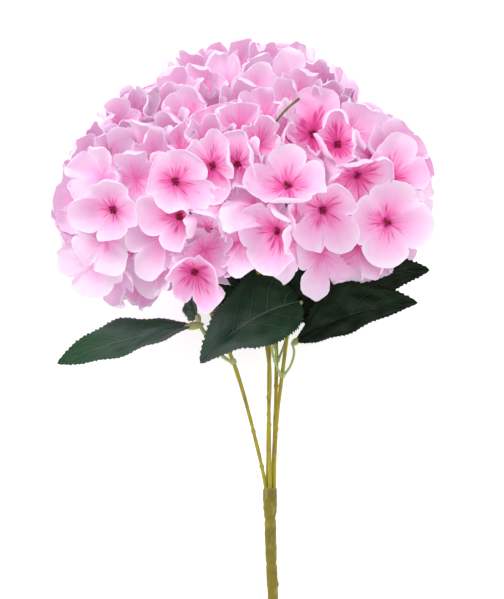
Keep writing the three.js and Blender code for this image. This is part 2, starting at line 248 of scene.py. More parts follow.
def sheet_shell(middle: Array, thickness: Array) -> tuple[Array, list[Array]]:
    """A thin closed sheet round its middle surface.

    Args:
        middle: A grid of points, rows by columns by 3.
        thickness: The thickness at each of them.

    Returns:
        The points, first of the face side and then of the back, and the faces.
    """
    rows, columns = middle.shape[:2]
    normal = unit(np.cross(np.gradient(middle, axis=0), np.gradient(middle, axis=1)))
    half = normal * thickness[..., None] / 2
    points = np.concatenate([(middle + half).reshape(-1, 3), (middle - half).reshape(-1, 3)])
    face = grid_faces(rows, columns)
    n = rows * columns
    index = np.arange(n).reshape(rows, columns)
    border = np.concatenate([index[:-1, 0], index[-1, :-1], index[:0:-1, -1], index[0, :0:-1]])
    after = np.roll(border, -1)
    rim = np.stack([after, border, border + n, after + n], axis=1)
    return points, [face, face[:, ::-1] + n, rim]


def route_through(way_points: Sequence[Array], steps: int) -> Array:
    """A smooth line through way points, in even steps.

    Args:
        way_points: The points that it passes.
        steps: How many steps it has.

    Returns:
        The points of the line.
    """
    p = [np.asarray(point, float) for point in way_points]
    p = [2 * p[0] - p[1], *p, 2 * p[-1] - p[-2]]
    t = np.linspace(0, 1, 24, endpoint=False)[:, None]
    line = []
    for a, b, c, d in zip(p, p[1:], p[2:], p[3:]):
        before, between, beyond = (max(np.linalg.norm(v) ** 0.5, 1e-4) for v in (b - a, c - b, d - c))
        start = ((b - a) / before - (c - a) / (before + between) + (c - b) / between) * between
        end = ((c - b) / between - (d - b) / (between + beyond) + (d - c) / beyond) * between
        square, cube = 3 * (c - b) - 2 * start - end, 2 * (b - c) + start + end
        line.append(b + start * t + square * t**2 + cube * t**3)
    points = np.concatenate([*line, p[-2][None]])
    reach = np.concatenate([[0], np.cumsum(np.linalg.norm(np.diff(points, axis=0), axis=1))])
    even = np.linspace(0, reach[-1], steps + 1)
    return np.stack([np.interp(even, reach, points[:, i]) for i in range(3)], axis=1)


def tube(route: Array, radius: Array | float, sides: int) -> tuple[Array, list[Array]]:
    """A round tube along a line, with domed ends.

    Args:
        route: The points of its middle line.
        radius: Its radius, one number or one for each point.
        sides: How many sides it has.

    Returns:
        The points and the faces.
    """
    radius = np.broadcast_to(np.asarray(radius, float), (len(route),))
    along = unit(np.gradient(route, axis=0))
    side = unit(np.cross(along[0], vec(0.31, 0.22, 0.92)))
    rings = []
    angle = np.linspace(0, 2 * math.pi, sides, endpoint=False)
    for point, way, r in zip(route, along, radius):
        side = unit(side - way * (side @ way))
        other = np.cross(way, side)
        rings.append(point + r * (np.cos(angle)[:, None] * side + np.sin(angle)[:, None] * other))
    n = len(route)
    ends = [route[0] - along[0] * radius[0] * 0.35, route[-1] + along[-1] * radius[-1] * 0.35]
    points = np.concatenate([*rings, ends])
    i = np.arange(sides)
    after = (i + 1) % sides
    low = np.stack([np.full(sides, n * sides), after, i], axis=1)
    top = (n - 1) * sides
    high = np.stack([np.full(sides, n * sides + 1), top + i, top + after], axis=1)
    faces = [grid_faces(n, sides, wrap=True)[:, ::-1], low, high]
    return points, faces


def ball(middle: Array, radius: Array, turn: Array, rings: int = 4,
         sides: int = 7) -> tuple[Array, list[Array]]:
    """An oval bead.

    Args:
        middle: Its middle.
        radius: Its radius along each of its own three axes.
        turn: The rotation from its own axes.
        rings: Rings of points between its poles.
        sides: Points in a ring.

    Returns:
        The points and the faces.
    """
    tilt = np.linspace(0, math.pi, rings + 2)[1:-1]
    angle = np.linspace(0, 2 * math.pi, sides, endpoint=False)
    t, a = np.meshgrid(tilt, angle, indexing="ij")
    own = np.stack([np.sin(t) * np.cos(a), np.sin(t) * np.sin(a), np.cos(t)], axis=-1).reshape(-1, 3)
    own = np.concatenate([own, [[0, 0, 1], [0, 0, -1]]]) * radius
    i = np.arange(sides)
    after = (i + 1) % sides
    n = rings * sides
    low = (rings - 1) * sides
    caps = [np.stack([np.full(sides, n), i, after], axis=1),
            np.stack([np.full(sides, n + 1), low + after, low + i], axis=1)]
    return own @ turn.T + middle, [grid_faces(rings, sides, wrap=True), *caps]


def turn_to(axis: Array, roll: float = 0.0) -> Array:
    """The rotation that carries +Z to an axis the short way, after a roll about +Z.

    Args:
        axis: The axis, at length 1.
        roll: The roll in degrees.

    Returns:
        A 3 by 3 matrix.
    """
    turn = Vector((0, 0, 1)).rotation_difference(Vector(axis)).to_matrix()
    return np.array(turn @ Matrix.Rotation(math.radians(roll), 3, "Z"))


# ---- Finishes --------------------------------------------------------------------------------------------
class Expression:
    """A socket of a material's nodes, for arithmetic that reads as Python."""

    def __init__(self, nodes: "Nodes", socket: bpy.types.NodeSocket) -> None:
        """Wraps a socket of a node tree."""
        self.nodes = nodes
        self.socket = socket

    def _math(self, operation: str, *operands: Any, clamp: bool = False) -> "Expression":
        """The result of a Math node on values."""
        return self.nodes.add("ShaderNodeMath", {"operation": operation, "use_clamp": clamp}, *operands)

    def __add__(self, other: Any) -> "Expression":
        """Sum of two values."""
        return self._math("ADD", self, other)

    def __radd__(self, other: Any) -> "Expression":
        """Sum with a number first."""
        return self._math("ADD", other, self)

    def __sub__(self, other: Any) -> "Expression":
        """Difference of two values."""
        return self._math("SUBTRACT", self, other)

    def __rsub__(self, other: Any) -> "Expression":
        """Difference with a number first."""
        return self._math("SUBTRACT", other, self)

    def __mul__(self, other: Any) -> "Expression":
        """Product of two values."""
        return self._math("MULTIPLY", self, other)

    def __rmul__(self, other: Any) -> "Expression":
        """Product with a number first."""
        return self._math("MULTIPLY", other, self)

    def __truediv__(self, other: Any) -> "Expression":
        """Quotient of two values."""
        return self._math("DIVIDE", self, other)

    def __pow__(self, other: Any) -> "Expression":
        """A value raised to a power."""
        return self._math("POWER", self, other)

    def __abs__(self) -> "Expression":
        """Size of a value."""
        return self._math("ABSOLUTE", self)

    def larger_of(self, other: Any) -> "Expression":
        """The larger of two values."""
        return self._math("MAXIMUM", self, other)

    def ping_pong(self, span: float) -> "Expression":
        """Goes up to a span and back down again."""
        return self._math("PINGPONG", self, span)

    def clamped(self) -> "Expression":
        """The value kept from 0 to 1."""
        return self._math("ADD", self, 0.0, clamp=True)

    def step(self, low: float, high: float) -> "Expression":
        """A smooth step from 0 at low to 1 at high."""
        settings = {"interpolation_type": "SMOOTHSTEP", "clamp": True}
        flip = low > high
        ends = (high, low, 1.0, 0.0) if flip else (low, high, 0.0, 1.0)
        return self.nodes.add("ShaderNodeMapRange", settings, self, *ends)


class Nodes:
    """The node tree of one material."""

    def __init__(self, name: str) -> None:
        """Makes a new material with a bare surface shader."""
        self.material = bpy.data.materials.new(name)
        self.material.use_nodes = True
        self.tree = self.material.node_tree
        self.surface = self.tree.nodes["Principled BSDF"]

    def add(self, kind: str, settings: dict[str, Any] | None = None, *inputs: Any, out: Any = 0,
            **named: Any) -> Expression:
        """Adds a node.

        Args:
            kind: The node's type.
            settings: Its own settings, which are set first. A ramp's stops are under "stops".
            inputs: Values or links of its sockets, in their order. None leaves one as it is.
            out: The output that is used, by place or name.
            named: Values or links of its sockets by name, with _ for a space.

        Returns:
            The output.
        """
        node = self.tree.nodes.new(kind)
        for key, value in (settings or {}).items():
            if key == "stops":
                self._set_stops(node.color_ramp, value)
            else:
                setattr(node, key, value)
        for place, value in enumerate(inputs):
            if value is not None:
                self.feed(node.inputs[place], value)
        for key, value in named.items():
            self.feed(node.inputs[key.replace("_", " ")], value)
        return Expression(self, node.outputs[out])

    @staticmethod
    def _set_stops(ramp: bpy.types.ColorRamp, stops: Sequence[tuple[float, Sequence[float]]]) -> None:
        """Gives a ramp its stops: each a place and a colour."""
        while len(ramp.elements) < len(stops):
            ramp.elements.new(1.0)
        for element, (place, colour) in zip(ramp.elements, stops):
            element.position = place
            element.color = (*colour, 1.0)

    def feed(self, socket: bpy.types.NodeSocket, value: Any) -> None:
        """Links a socket to an expression, or sets it to a number, vector or colour."""
        if isinstance(value, Expression):
            self.tree.links.new(value.socket, socket)
        elif isinstance(value, (int, float)):
            socket.default_value = value
        else:
            size = len(socket.default_value)
            socket.default_value = (*value, 1.0)[:size]

    def shade(self, name: str, value: Any) -> None:
        """Feeds a socket of the surface shader by name."""
        self.feed(self.surface.inputs[name], value)

    def attribute(self, name: str, vector: bool = False) -> Expression:
        """A point value of the mesh."""
        return self.add("ShaderNodeAttribute", {"attribute_name": name}, out="Vector" if vector else "Fac")

    def split(self, vector: Expression) -> tuple[Expression, Expression, Expression]:
        """The three parts of a vector."""
        first = self.add("ShaderNodeSeparateXYZ", None, vector)
        outputs = first.socket.node.outputs
        return first, Expression(self, outputs[1]), Expression(self, outputs[2])

    def join(self, x: Any, y: Any, z: Any) -> Expression:
        """A vector of three parts."""
        return self.add("ShaderNodeCombineXYZ", None, x, y, z)

    def place(self) -> Expression:
        """The point on the surface, in metres."""
        return self.add("ShaderNodeTexCoord", None, out="Object")

    def scaled(self, vector: Expression, by: Sequence[float]) -> Expression:
        """A vector with each part multiplied."""
        return self.add("ShaderNodeVectorMath", {"operation": "MULTIPLY"}, vector, by)

    def noise(self, where: Expression, scale: float, detail: float = 2.0) -> Expression:
        """Soft noise from 0 to 1."""
        return self.add("ShaderNodeTexNoise", None, Vector=where, Scale=scale, Detail=detail)

    def mix(self, factor: Any, a: Any, b: Any) -> Expression:
        """A mix of two colours.

        Args:
            factor: How much of the second.
            a: The first colour.
            b: The second colour.

        Returns:
            The colour.
        """
        node = self.tree.nodes.new("ShaderNodeMix")
        node.data_type = "RGBA"
        self.feed(node.inputs[0], factor)
        self.feed(node.inputs[6], a)
        self.feed(node.inputs[7], b)
        return Expression(self, node.outputs[2])

    def ramp(self, value: Expression, *stops: tuple[float, Sequence[float]]) -> Expression:
        """A colour by value, from a ramp's stops."""
        return self.add("ShaderNodeValToRGB", {"stops": stops}, value, out="Color")

    def bump(self, height: Expression, distance: float, strength: float = 1.0) -> None:
        """Raises the surface by a height times a distance in metres."""
        self.shade("Normal", self.add("ShaderNodeBump", None, Height=height, Distance=distance,
                                      Strength=strength, out="Normal"))


Colour = tuple[float, float, float]


@dataclass(frozen=True)
class Finish:
    """What a surface is made of. Each kind of finish dresses its own material."""

    name: str

    def material(self) -> bpy.types.Material:
        """The material, made once."""
        known = bpy.data.materials.get(self.name)
        if known is not None:
            return known
        nodes = Nodes(self.name)
        self.dress(nodes)
        return nodes.material

    def dress(self, nodes: Nodes) -> None:
        """Builds the nodes."""
        raise NotImplementedError


@dataclass(frozen=True)
class PetalCloth(Finish):
    """Printed cloth: deep pink veins and throat, paler to a lavender white rim, with a painted pink glow that
    is paler and brighter on the back.
    """

    name: str = "petal_cloth"
    throat: Colour = (0.52, 0.02, 0.20)
    vein: Colour = (0.66, 0.05, 0.28)
    rim: Colour = (0.90, 0.81, 0.93)
    back: Colour = (0.90, 0.56, 0.78)

    def dress(self, nodes: Nodes) -> None:
        """Builds the nodes."""
        x, y, edge = nodes.split(nodes.attribute("petal", vector=True))
        tone = nodes.attribute("tone")
        side = nodes.attribute("side")
        across = nodes.attribute("across")
        openness = nodes.attribute("openness")
        reach = (x * x + y * y) ** 0.5
        way_x, way_y = x / (reach + 0.02), y / (reach + 0.02)
        cloud = nodes.noise(nodes.join(x, y, tone * 31.0), 4.0, 3.0)
        shifted = (reach + (cloud - 0.5) * 0.25 + (tone - 0.5) * 0.22 + across.step(0.35, 1.0) * 0.10
                   + (1 - openness) * 0.20).clamped()
        ground = nodes.ramp(
            shifted,
            (0.00, (0.48, 0.02, 0.18)),
            (0.13, (0.70, 0.07, 0.29)),
            (0.27, (0.82, 0.18, 0.45)),
            (0.48, (0.87, 0.38, 0.65)),
            (0.76, (0.87, 0.55, 0.77)),
            (1.00, (0.89, 0.69, 0.85)),
        )
        streak = nodes.noise(nodes.join(way_x * 3.5, way_y * 3.5, reach * 1.1 + tone * 17.0), 2.0, 4.0)
        length = (reach - (streak - 0.5) * 0.9 + across * 0.14 + (tone - 0.5) * 0.2).step(0.58, 0.26)
        lines = streak.step(0.45, 0.62) * length * (0.25 + 0.73 * openness)
        veined = nodes.mix(lines, ground, self.vein)
        throat = nodes.mix(reach.step(0.17, 0.06) * openness.step(0.1, 0.9) * 0.85, veined, self.throat)
        rimmed = nodes.mix(edge ** 1.1 * 0.95, throat, self.rim)
        backed = nodes.mix(side * (1 - edge) * 0.55, rimmed, self.back)
        nodes.shade("Base Color", backed)
        nodes.shade("Roughness", 0.62)
        nodes.shade("Specular IOR Level", 0.3)
        nodes.shade("Sheen Weight", 0.12)
        nodes.shade("Subsurface Weight", 0.15)
        nodes.shade("Subsurface Radius", (1.0, 0.42, 0.62))
        nodes.shade("Subsurface Scale", 0.0015)
        weave = nodes.noise(nodes.join(x, y, tone), 90.0, 1.0)
        folds = nodes.noise(nodes.join(way_x * 4.0, way_y * 4.0, reach * 2.0 + tone * 9.0), 2.0, 2.0)
        # Painted glow: the cloth gives off a faint light of its own colour, paler and brighter on the back. It
        # stands in for light passing through the cloth and lifting its shade.
        nodes.shade("Emission Color", nodes.mix(side, backed, (0.95, 0.66, 0.88)))
        nodes.shade("Emission Strength", 0.12)
        nodes.bump(weave * 0.12 + folds, 0.0007, 0.6)


@dataclass(frozen=True)
class BeadPaste(Finish):
    """Glossy dark red paste of the small beads in a floret's middle."""

    name: str = "bead_paste"

    def dress(self, nodes: Nodes) -> None:
        """Builds the nodes."""
        cloud = nodes.noise(nodes.place(), 900.0, 2.0)
        red = nodes.ramp(cloud, (0.35, (0.14, 0.003, 0.018)), (0.70, (0.42, 0.020, 0.070)))
        nodes.shade("Base Color", red)
        nodes.shade("Roughness", 0.40)
        nodes.shade("Specular IOR Level", 0.2)
        nodes.bump(cloud, 0.0002)


@dataclass(frozen=True)
class LeafCloth(Finish):
    """Coated dark green cloth with pressed veins and a grey back, with painted sheen in pale patches and
    painted shade along the vein grooves.
    """

    name: str = "leaf_cloth"
    deep: Colour = (0.001, 0.008, 0.002)
    mid: Colour = (0.019, 0.041, 0.016)
    green: Colour = (0.046, 0.140, 0.066)
    painted_sheen: Colour = (0.105, 0.132, 0.130)
    light: Colour = (0.160, 0.220, 0.180)
    back: Colour = (0.20, 0.21, 0.23)

    def dress(self, nodes: Nodes) -> None:
        """Builds the nodes."""
        share, across, side = nodes.split(nodes.attribute("leaf", vector=True))
        tone = nodes.attribute("tone")
        cloud = nodes.noise(nodes.join(share * 2.2, across, tone * 13.0), 2.4, 4.0)
        ground = nodes.mix(cloud.step(0.30, 0.72), self.deep, self.mid)
        off = abs(across)
        phase = ((share - off * 0.24 - off * off * 0.06) * LeafBlade.VEINS).ping_pong(0.5)
        ribs = phase.step(0.06, 0.0) * off.step(1.0, 0.2)
        # Painted shade: the cloth is made darker along the pressed vein grooves.
        groove_shade = phase.step(0.20, 0.06) * off.step(1.0, 0.3)
        fine = nodes.noise(nodes.join(share * 3.0, across, tone), 26.0, 3.0)
        web = abs(fine - 0.5).step(0.03, 0.0) * 0.3
        middle = off.step(0.045, 0.0)
        veins = (ribs * 0.6).larger_of(middle * 0.9).larger_of(web)
        # A leaf's tone makes it greener and lighter, with paler veins and more painted sheen: partly the leaf's
        # own colour, partly painted light for how brightly it catches the light.
        greener = nodes.mix(tone * 0.8, ground, self.green)
        # Painted sheen: pale grey-green patches, strongest towards the base and on leaves of higher tone, stand
        # in for the sheen that the coated cloth catches.
        sheen_cloud = nodes.noise(nodes.join(share * 1.5, across * 0.8, tone * 7.0), 1.7, 2.0)
        sheen_mask = sheen_cloud.step(0.35, 0.62) * share.step(0.85, 0.25) * (0.08 + tone * 1.4)
        with_sheen = nodes.mix(sheen_mask.clamped(), greener, self.painted_sheen)
        darker = nodes.mix(groove_shade * 0.22, with_sheen, self.deep)
        veined = nodes.mix(veins * (0.36 + tone * 0.9), darker, self.light)
        nodes.shade("Base Color", nodes.mix(side, veined, self.back))
        nodes.shade("Roughness", 0.46 + fine * 0.14)
        nodes.shade("Specular IOR Level", 0.05)
        nodes.bump(0.35 * fine - ribs.larger_of(middle) * 0.5, 0.0011, 0.8)


@dataclass(frozen=True)
class Coating(Finish):
    """Moulded plastic coating with streaks along it and darker blotches."""

    base: Colour = (0.34, 0.31, 0.035)
    dark: Colour = (0.20, 0.15, 0.03)
    pale: Colour = (0.46, 0.44, 0.12)
    roughness: float = 0.42
    stretch: tuple[float, float, float] = (420.0, 40.0, 420.0)

    def dress(self, nodes: Nodes) -> None:
        """Builds the nodes."""
        where = nodes.place()
        streaks = nodes.noise(nodes.scaled(where, self.stretch), 1.0, 3.0)
        blotches = nodes.noise(where, 55.0, 3.0)
        shaded = nodes.mix(blotches.step(0.46, 0.68) * 0.7, self.base, self.dark)
        nodes.shade("Base Color", nodes.mix(streaks.step(0.50, 0.75) * 0.6, shaded, self.pale))
        nodes.shade("Roughness", self.roughness + streaks * 0.12)
        nodes.shade("Specular IOR Level", 0.3)
        nodes.bump(streaks, 0.0003, 0.6)


@dataclass(frozen=True)
class PaleFloor(Finish):
    """The plain pale floor."""

    name: str = "pale_floor"

    def dress(self, nodes: Nodes) -> None:
        """Builds the nodes."""
        cloud = nodes.noise(nodes.place(), 3.0, 2.0)
        nodes.shade("Base Color", nodes.mix(cloud * 0.2, (0.93, 0.93, 0.93), (0.90, 0.90, 0.90)))
        nodes.shade("Roughness", 0.9)
        nodes.shade("Specular IOR Level", 0.1)
        nodes.shade("Emission Color", (1.0, 1.0, 1.0))
        nodes.shade("Emission Strength", 0.52)


PETAL_CLOTH = PetalCloth()
BEAD_PASTE = BeadPaste()
LEAF_CLOTH = LeafCloth()
STEM_COATING = Coating("stem_coating", base=(0.40, 0.34, 0.022), dark=(0.24, 0.15, 0.030),
                       pale=(0.56, 0.50, 0.10), roughness=0.36)
STALK_COATING = Coating("stalk_coating", base=(0.24, 0.19, 0.020), dark=(0.16, 0.11, 0.022),
                        pale=(0.40, 0.37, 0.11), roughness=0.40, stretch=(300.0, 90.0, 300.0))
LEAF_STALK_COATING = Coating("leaf_stalk_coating", base=(0.42, 0.52, 0.19), dark=(0.28, 0.38, 0.09),
                             pale=(0.58, 0.65, 0.36))
PEDICEL_COATING = Coating("pedicel_coating", base=(0.16, 0.17, 0.05), dark=(0.16, 0.06, 0.04),
                          pale=(0.30, 0.32, 0.12))


# ---- Florets and heads -----------------------------------------------------------------------------------
@dataclass
class Floret:
    """One die-cut piece of cloth with four lobes. Each lobe is given from the middle to its tip."""

    head: str
    at: Array
    axis: Array
    lobes: Array
    rank: float
    openness: float = 1.0
    fine: bool = True
    rolls: Array | None = None  # how far the rim of each lobe rolls over, if that is fixed

    FINE_ROWS = vec(0.05, 0.12, 0.21, 0.32, 0.43, 0.54, 0.65, 0.75, 0.83, 0.88, 0.92, 0.955, 0.98, 1.0)
    FINE_PLACES = vec(0.0, 0.1, 0.2, 0.29, 0.37, 0.43, 0.47, 0.5, 0.53, 0.57, 0.63, 0.71, 0.8, 0.9)
    PLAIN_ROWS = vec(0.06, 0.22, 0.42, 0.62, 0.80, 0.93, 1.0)
    PLAIN_PLACES = vec(0.0, 0.17, 0.33, 0.44, 0.5, 0.56, 0.67, 0.83)
    THICKNESS = 0.5             # of the cloth, in millimetres
    REACH = 70.0                # florets whose middles are further apart can't touch
    GAP = 1.0                   # room that is left between one floret's cloth and the next
    WARM_PLACE = vec(15, 240)   # cloth further from here is paler
    HALF_OPEN = 0.3             # openness below which a floret hides its middle
    BACK = -25.0                # height below which all but those show it
    STRAY = math.radians(28)    # the most that a lobe turns away from an even cross
    ROLLED_FROM = 0.86          # share of the length beyond which the rim rolls over

    def __post_init__(self) -> None:
        """Fixes the floret's own frame."""
        self.turn = turn_to(self.axis)
        self.covered = False
        self.closed = self.openness < self.HALF_OPEN or (self.openness < 1.0 and self.at[2] > self.BACK)
        self.rows = (self.FINE_ROWS if self.fine else self.PLAIN_ROWS).copy()
        if self.closed:
            self.rows[0] = 0.012
        self.places = self.FINE_PLACES if self.fine else self.PLAIN_PLACES
        self.cloth = np.zeros((len(self.rows), 4 * len(self.places), 3))
        self.marks = np.zeros((len(self.rows), 4 * len(self.places), 5))

    @property
    def shows_middle(self) -> bool:
        """Whether the beads in its middle can be seen."""
        return self.fine and not self.covered and not self.closed

    def spread(self, random: np.random.Generator) -> None:
        """Lays out the cloth between the lobes and draws how its edges bend.

        Args:
            random: The source of the draws.
        """
        step = (np.arange(4)[:, None] + self.places).ravel()
        before = step.astype(int)
        after = (before + 1) % 4
        t = step - before
        blend = smooth(t, 0, 1)
        reach, turn, rise = self._lobe_angles()
        azimuth = turn[before] + (turn[before + 1] - turn[before]) * t
        lifted = rise[before] * (1 - blend) + rise[after] * blend
        length = reach[before] * (1 - blend) + reach[after] * blend
        flat = np.stack([np.cos(azimuth), np.sin(azimuth), np.zeros_like(azimuth)], axis=1)
        toward = flat * np.cos(lifted)[:, None] + vec(0, 0, 1) * np.sin(lifted)[:, None]

        edge = np.minimum(t, 1 - t) * 2
        depth = random.uniform(0.20, 0.46, 4)[before]
        notch = 1 - (1 - np.minimum(edge, 1) ** 2.2) ** 0.6
        outline = 1 - depth * notch + 0.016 * np.sin(step * math.pi * 5 + depth * 30)
        f = self.rows[:, None]
        s = (f * outline)[..., None]
        sheet = length[:, None] * (s * (1 - s) * flat + s**2 * toward)

        sway = random.uniform(-1, 1, (6, 4))
        nearest = np.where(t <= 0.5, before, after)
        wave = (np.sin(step * math.pi / 2 * 7 + sway[4, 0] * 3)
                + 0.6 * np.sin(step * math.pi / 2 * 11 + sway[4, 1] * 3))
        hem = 1 - smooth(edge, 0.82, 1.0)
        side = np.where(t <= 0.5, sway[1][nearest], sway[2][nearest]) * edge**2 * hem
        hook = np.where(sway[0] > 0, 0.25 + 0.9 * sway[0], sway[0] * 0.6)[nearest]
        bend = (0.17 * hook * smooth(f, 0.55, 1.0) ** 1.5 * (1 - edge**2)
                + 0.26 * side * smooth(f, 0.4, 1.0)
                + 0.08 * (sway[5][nearest] - 0.3) * (1 - edge**2) * np.sin(math.pi * f)
                + 0.040 * wave * f**3)
        ridge = 0.030 * np.exp(-(((1 - edge) / 0.25) ** 2)) * smooth(s[..., 0], 0.06, 0.3)
        lift = (bend + ridge) * length
        sheet = sheet + self._normals(sheet) * lift[..., None]
        if self.fine:
            turns = sum(np.sin(step * math.pi / 2 * k + sway[4, k % 4] * math.pi) for k in (2, 3, 5)) / 2
            curl = np.radians(40 + 85 * turns)
            if self.rolls is not None:
                curl = curl * 0.2 + self.rolls[before] * (1 - blend) + self.rolls[after] * blend
            curl = curl * (1 - edge**4)
            sheet = self._rolled(sheet, curl, outline * length)
        self.cloth = self._hold_in(self.at + sheet @ self.turn.T)

        rim = np.exp(-(1 - f) * outline * length / 2.2)
        outward = float(np.clip((np.linalg.norm(self.at[:2] - self.WARM_PLACE) - 60) / 100, 0, 1.2))
        paler = outward * (0.45 if self.openness == 1.0 else 0.95)
        tone = random.uniform(0, 1) * 0.65 + random.uniform(0, 0.35, 4) + paler
        tones = tone[before] * (1 - blend) + tone[after] * blend
        own = s[..., 0]
        turned = step * math.pi / 2
        marks = [own * np.cos(turned), own * np.sin(turned), rim, *np.broadcast_arrays(tones, edge, own)[:2]]
        self.marks = np.stack(marks, axis=-1)

    def _rolled(self, sheet: Array, curl: Array, length: Array) -> Array:
        """Rolls the cloth's rim over.

        Args:
            sheet: The cloth in the floret's own frame.
            curl: How far the rim turns at each column, in radians, to the face side if it is over 0.
            length: The length of each column.

        Returns:
            The cloth with its rim rolled.
        """
        first = int(np.searchsorted(self.rows, self.ROLLED_FROM))
        start = self.rows[first - 1]
        base, inner = sheet[first - 1], sheet[first - 2]
        way = unit(base - inner)
        normal = self._normals(sheet)[first - 1]
        share = (self.rows[first:, None] - start) / (1 - start)
        turned = share * np.where(np.abs(curl) < 0.02, 0.02, curl)
        arc = share * (1 - start) * length / turned
        onward, over = np.sin(turned) * arc, (1 - np.cos(turned)) * arc
        rim = base + way * onward[..., None] + normal * over[..., None]
        return np.concatenate([sheet[:first], rim])

    def _lobe_angles(self) -> tuple[Array, Array, Array]:
        """Lengths of the lobes, angles about the axis with the first repeated, and angles above it."""
        own = self.lobes @ self.turn
        reach = np.linalg.norm(own, axis=1)
        rise = np.arcsin(np.clip(own[:, 2] / reach, -1, 1))
        apart = np.arctan2(own[:, 1], own[:, 0]) - np.arange(4) * math.pi / 2
        weight = np.cos(rise) ** 2
        start = math.atan2(np.sum(np.sin(apart) * weight), np.sum(np.cos(apart) * weight))
        off = (apart - start + math.pi) % (2 * math.pi) - math.pi
        turn = start + np.arange(4) * math.pi / 2 + np.clip(off, -self.STRAY, self.STRAY)
        return reach, np.append(turn, turn[0] + 2 * math.pi), rise

    def _hold_in(self, points: Array) -> Array:
        """Holds the cloth's tips to its head's round outline, on the upper side of the head."""
        plan = HEADS[self.head]
        out = points - plan.middle
        far = np.linalg.norm(out, axis=-1)
        way = out / far[..., None]
        limit = plan.radius - 1 + 14 * smooth(way[..., 2], 0.2, 0.8) + 40 * smooth(-way[..., 1], -0.1, 0.35)
        for toward, more in plan.leans:
            limit = limit + more * smooth(way @ unit(toward), 0.84, 0.96)
        over = np.maximum(far - (limit - 4), 0)
        held = far - over + 5 * (1 - np.exp(-over / 5))
        return plan.middle + way * held[..., None]

    @staticmethod
    def _normals(sheet: Array) -> Array:
        """Normals of a sheet whose rows close on themselves."""
        around = np.roll(sheet, -1, axis=1) - np.roll(sheet, 1, axis=1)
        return unit(np.cross(np.gradient(sheet, axis=0), around))

    def settle(self, above: Sequence["Floret"]) -> None:
        """Bends the cloth so that it passes under florets that lie over it.

        Args:
            above: The florets of higher rank near this one, whose cloth is in its place.
        """
        shape = self.cloth.shape
        free = self.cloth.reshape(-1, 3)
        points = free
        for _ in range(2):
            for other in above:
                points = other.press_under(points)
            shift = (points - free).reshape(shape)
            for _ in range(2):
                near = np.roll(shift, 1, axis=1) + np.roll(shift, -1, axis=1)
                near[1:] += shift[:-1]
                near[:-1] += shift[1:]
                shift[1:-1] = shift[1:-1] * 0.4 + near[1:-1] * 0.15
                shift[-1] = shift[-1] * 0.4 + near[-1] * 0.2
            points = free + shift.reshape(-1, 3)
        for other in above:
            points = other.press_under(points)
        inner = (points - free).reshape(shape)[:2]
        self.covered = bool(np.abs(inner).max() > 0.5)
        self.cloth = points.reshape(shape)

    def measure(self) -> None:
        """Measures the finished cloth in the floret's own frame, for florets that pass under it."""
        own = (self.cloth - self.at) @ self.turn
        angle = np.arctan2(own[..., 1], own[..., 0])
        middle = angle[len(self.rows) // 2]
        self._order = np.argsort(middle)
        self._angles = middle[self._order]
        self._far = np.maximum.accumulate(np.hypot(own[..., 0], own[..., 1]), axis=0)
        self._high = own[..., 2]

    def press_under(self, points: Array) -> Array:
        """Moves points of a lower floret's cloth to below this one, unless they stand well in front of it.

        Args:
            points: The points, in the bunch's frame.

        Returns:
            The points, moved back along this floret's axis.
        """
        own = (points - self.at) @ self.turn
        far = np.hypot(own[:, 0], own[:, 1])
        angle = np.arctan2(own[:, 1], own[:, 0])
        spot = np.searchsorted(self._angles, angle) % len(self._angles)
        column = self._order[spot]
        reach, height = self._far[:, column], self._high[:, column]
        row = np.clip((reach < far).sum(axis=0), 1, len(reach) - 1)
        each = np.arange(len(points))
        low, high = reach[row - 1, each], reach[row, each]
        share = np.clip((far - low) / np.maximum(high - low, 1e-3), 0, 1)
        top = height[row - 1, each] * (1 - share) + height[row, each] * share
        inside = smooth(-far, -reach[-1] - 2.5, -reach[-1] + 1.0)
        over = own[:, 2] - (top - self.GAP)
        deepest = 11.0 + 50.0 * (1 - np.minimum(far / reach[-1], 1))
        press = np.maximum(over, 0) * inside * smooth(-over, -deepest, -deepest * 0.6)
        return points - press[:, None] * self.axis

    def shell(self) -> tuple[Array, list[Array], Array, Array]:
        """The cloth as a thin closed sheet.

        Returns:
            The points, the faces, the marks of each point and 0 for the face side or 1 for the back.
        """
        rows, columns = self.cloth.shape[:2]
        thickness = self.THICKNESS * (1 - 0.4 * self.marks[..., 2])
        half = self._normals(self.cloth) * thickness[..., None] / 2
        points = np.concatenate([(self.cloth + half).reshape(-1, 3), (self.cloth - half).reshape(-1, 3)])
        n = rows * columns
        face = grid_faces(rows, columns, wrap=True)
        here = np.arange(columns)
        after = np.roll(here, -1)
        last = n - columns
        outer = np.stack([last + here, last + here + n, last + after + n, last + after], axis=1)
        inner = np.stack([after, after + n, here + n, here], axis=1)
        marks = np.tile(self.marks.reshape(n, 5), (2, 1))
        return points, [face, face[:, ::-1] + n, outer, inner], marks, np.repeat([0.0, 1.0], n)


@dataclass(frozen=True)
class HeadPlan:
    """Where a head is and how it is filled."""

    middle: Array
    radius: float
    seed: int
    stem_end: Array
    facing: tuple[tuple[float, float, float], ...]
    leans: tuple[tuple[Array, float], ...] = ()   # ways in which its outline stands further out, and how far


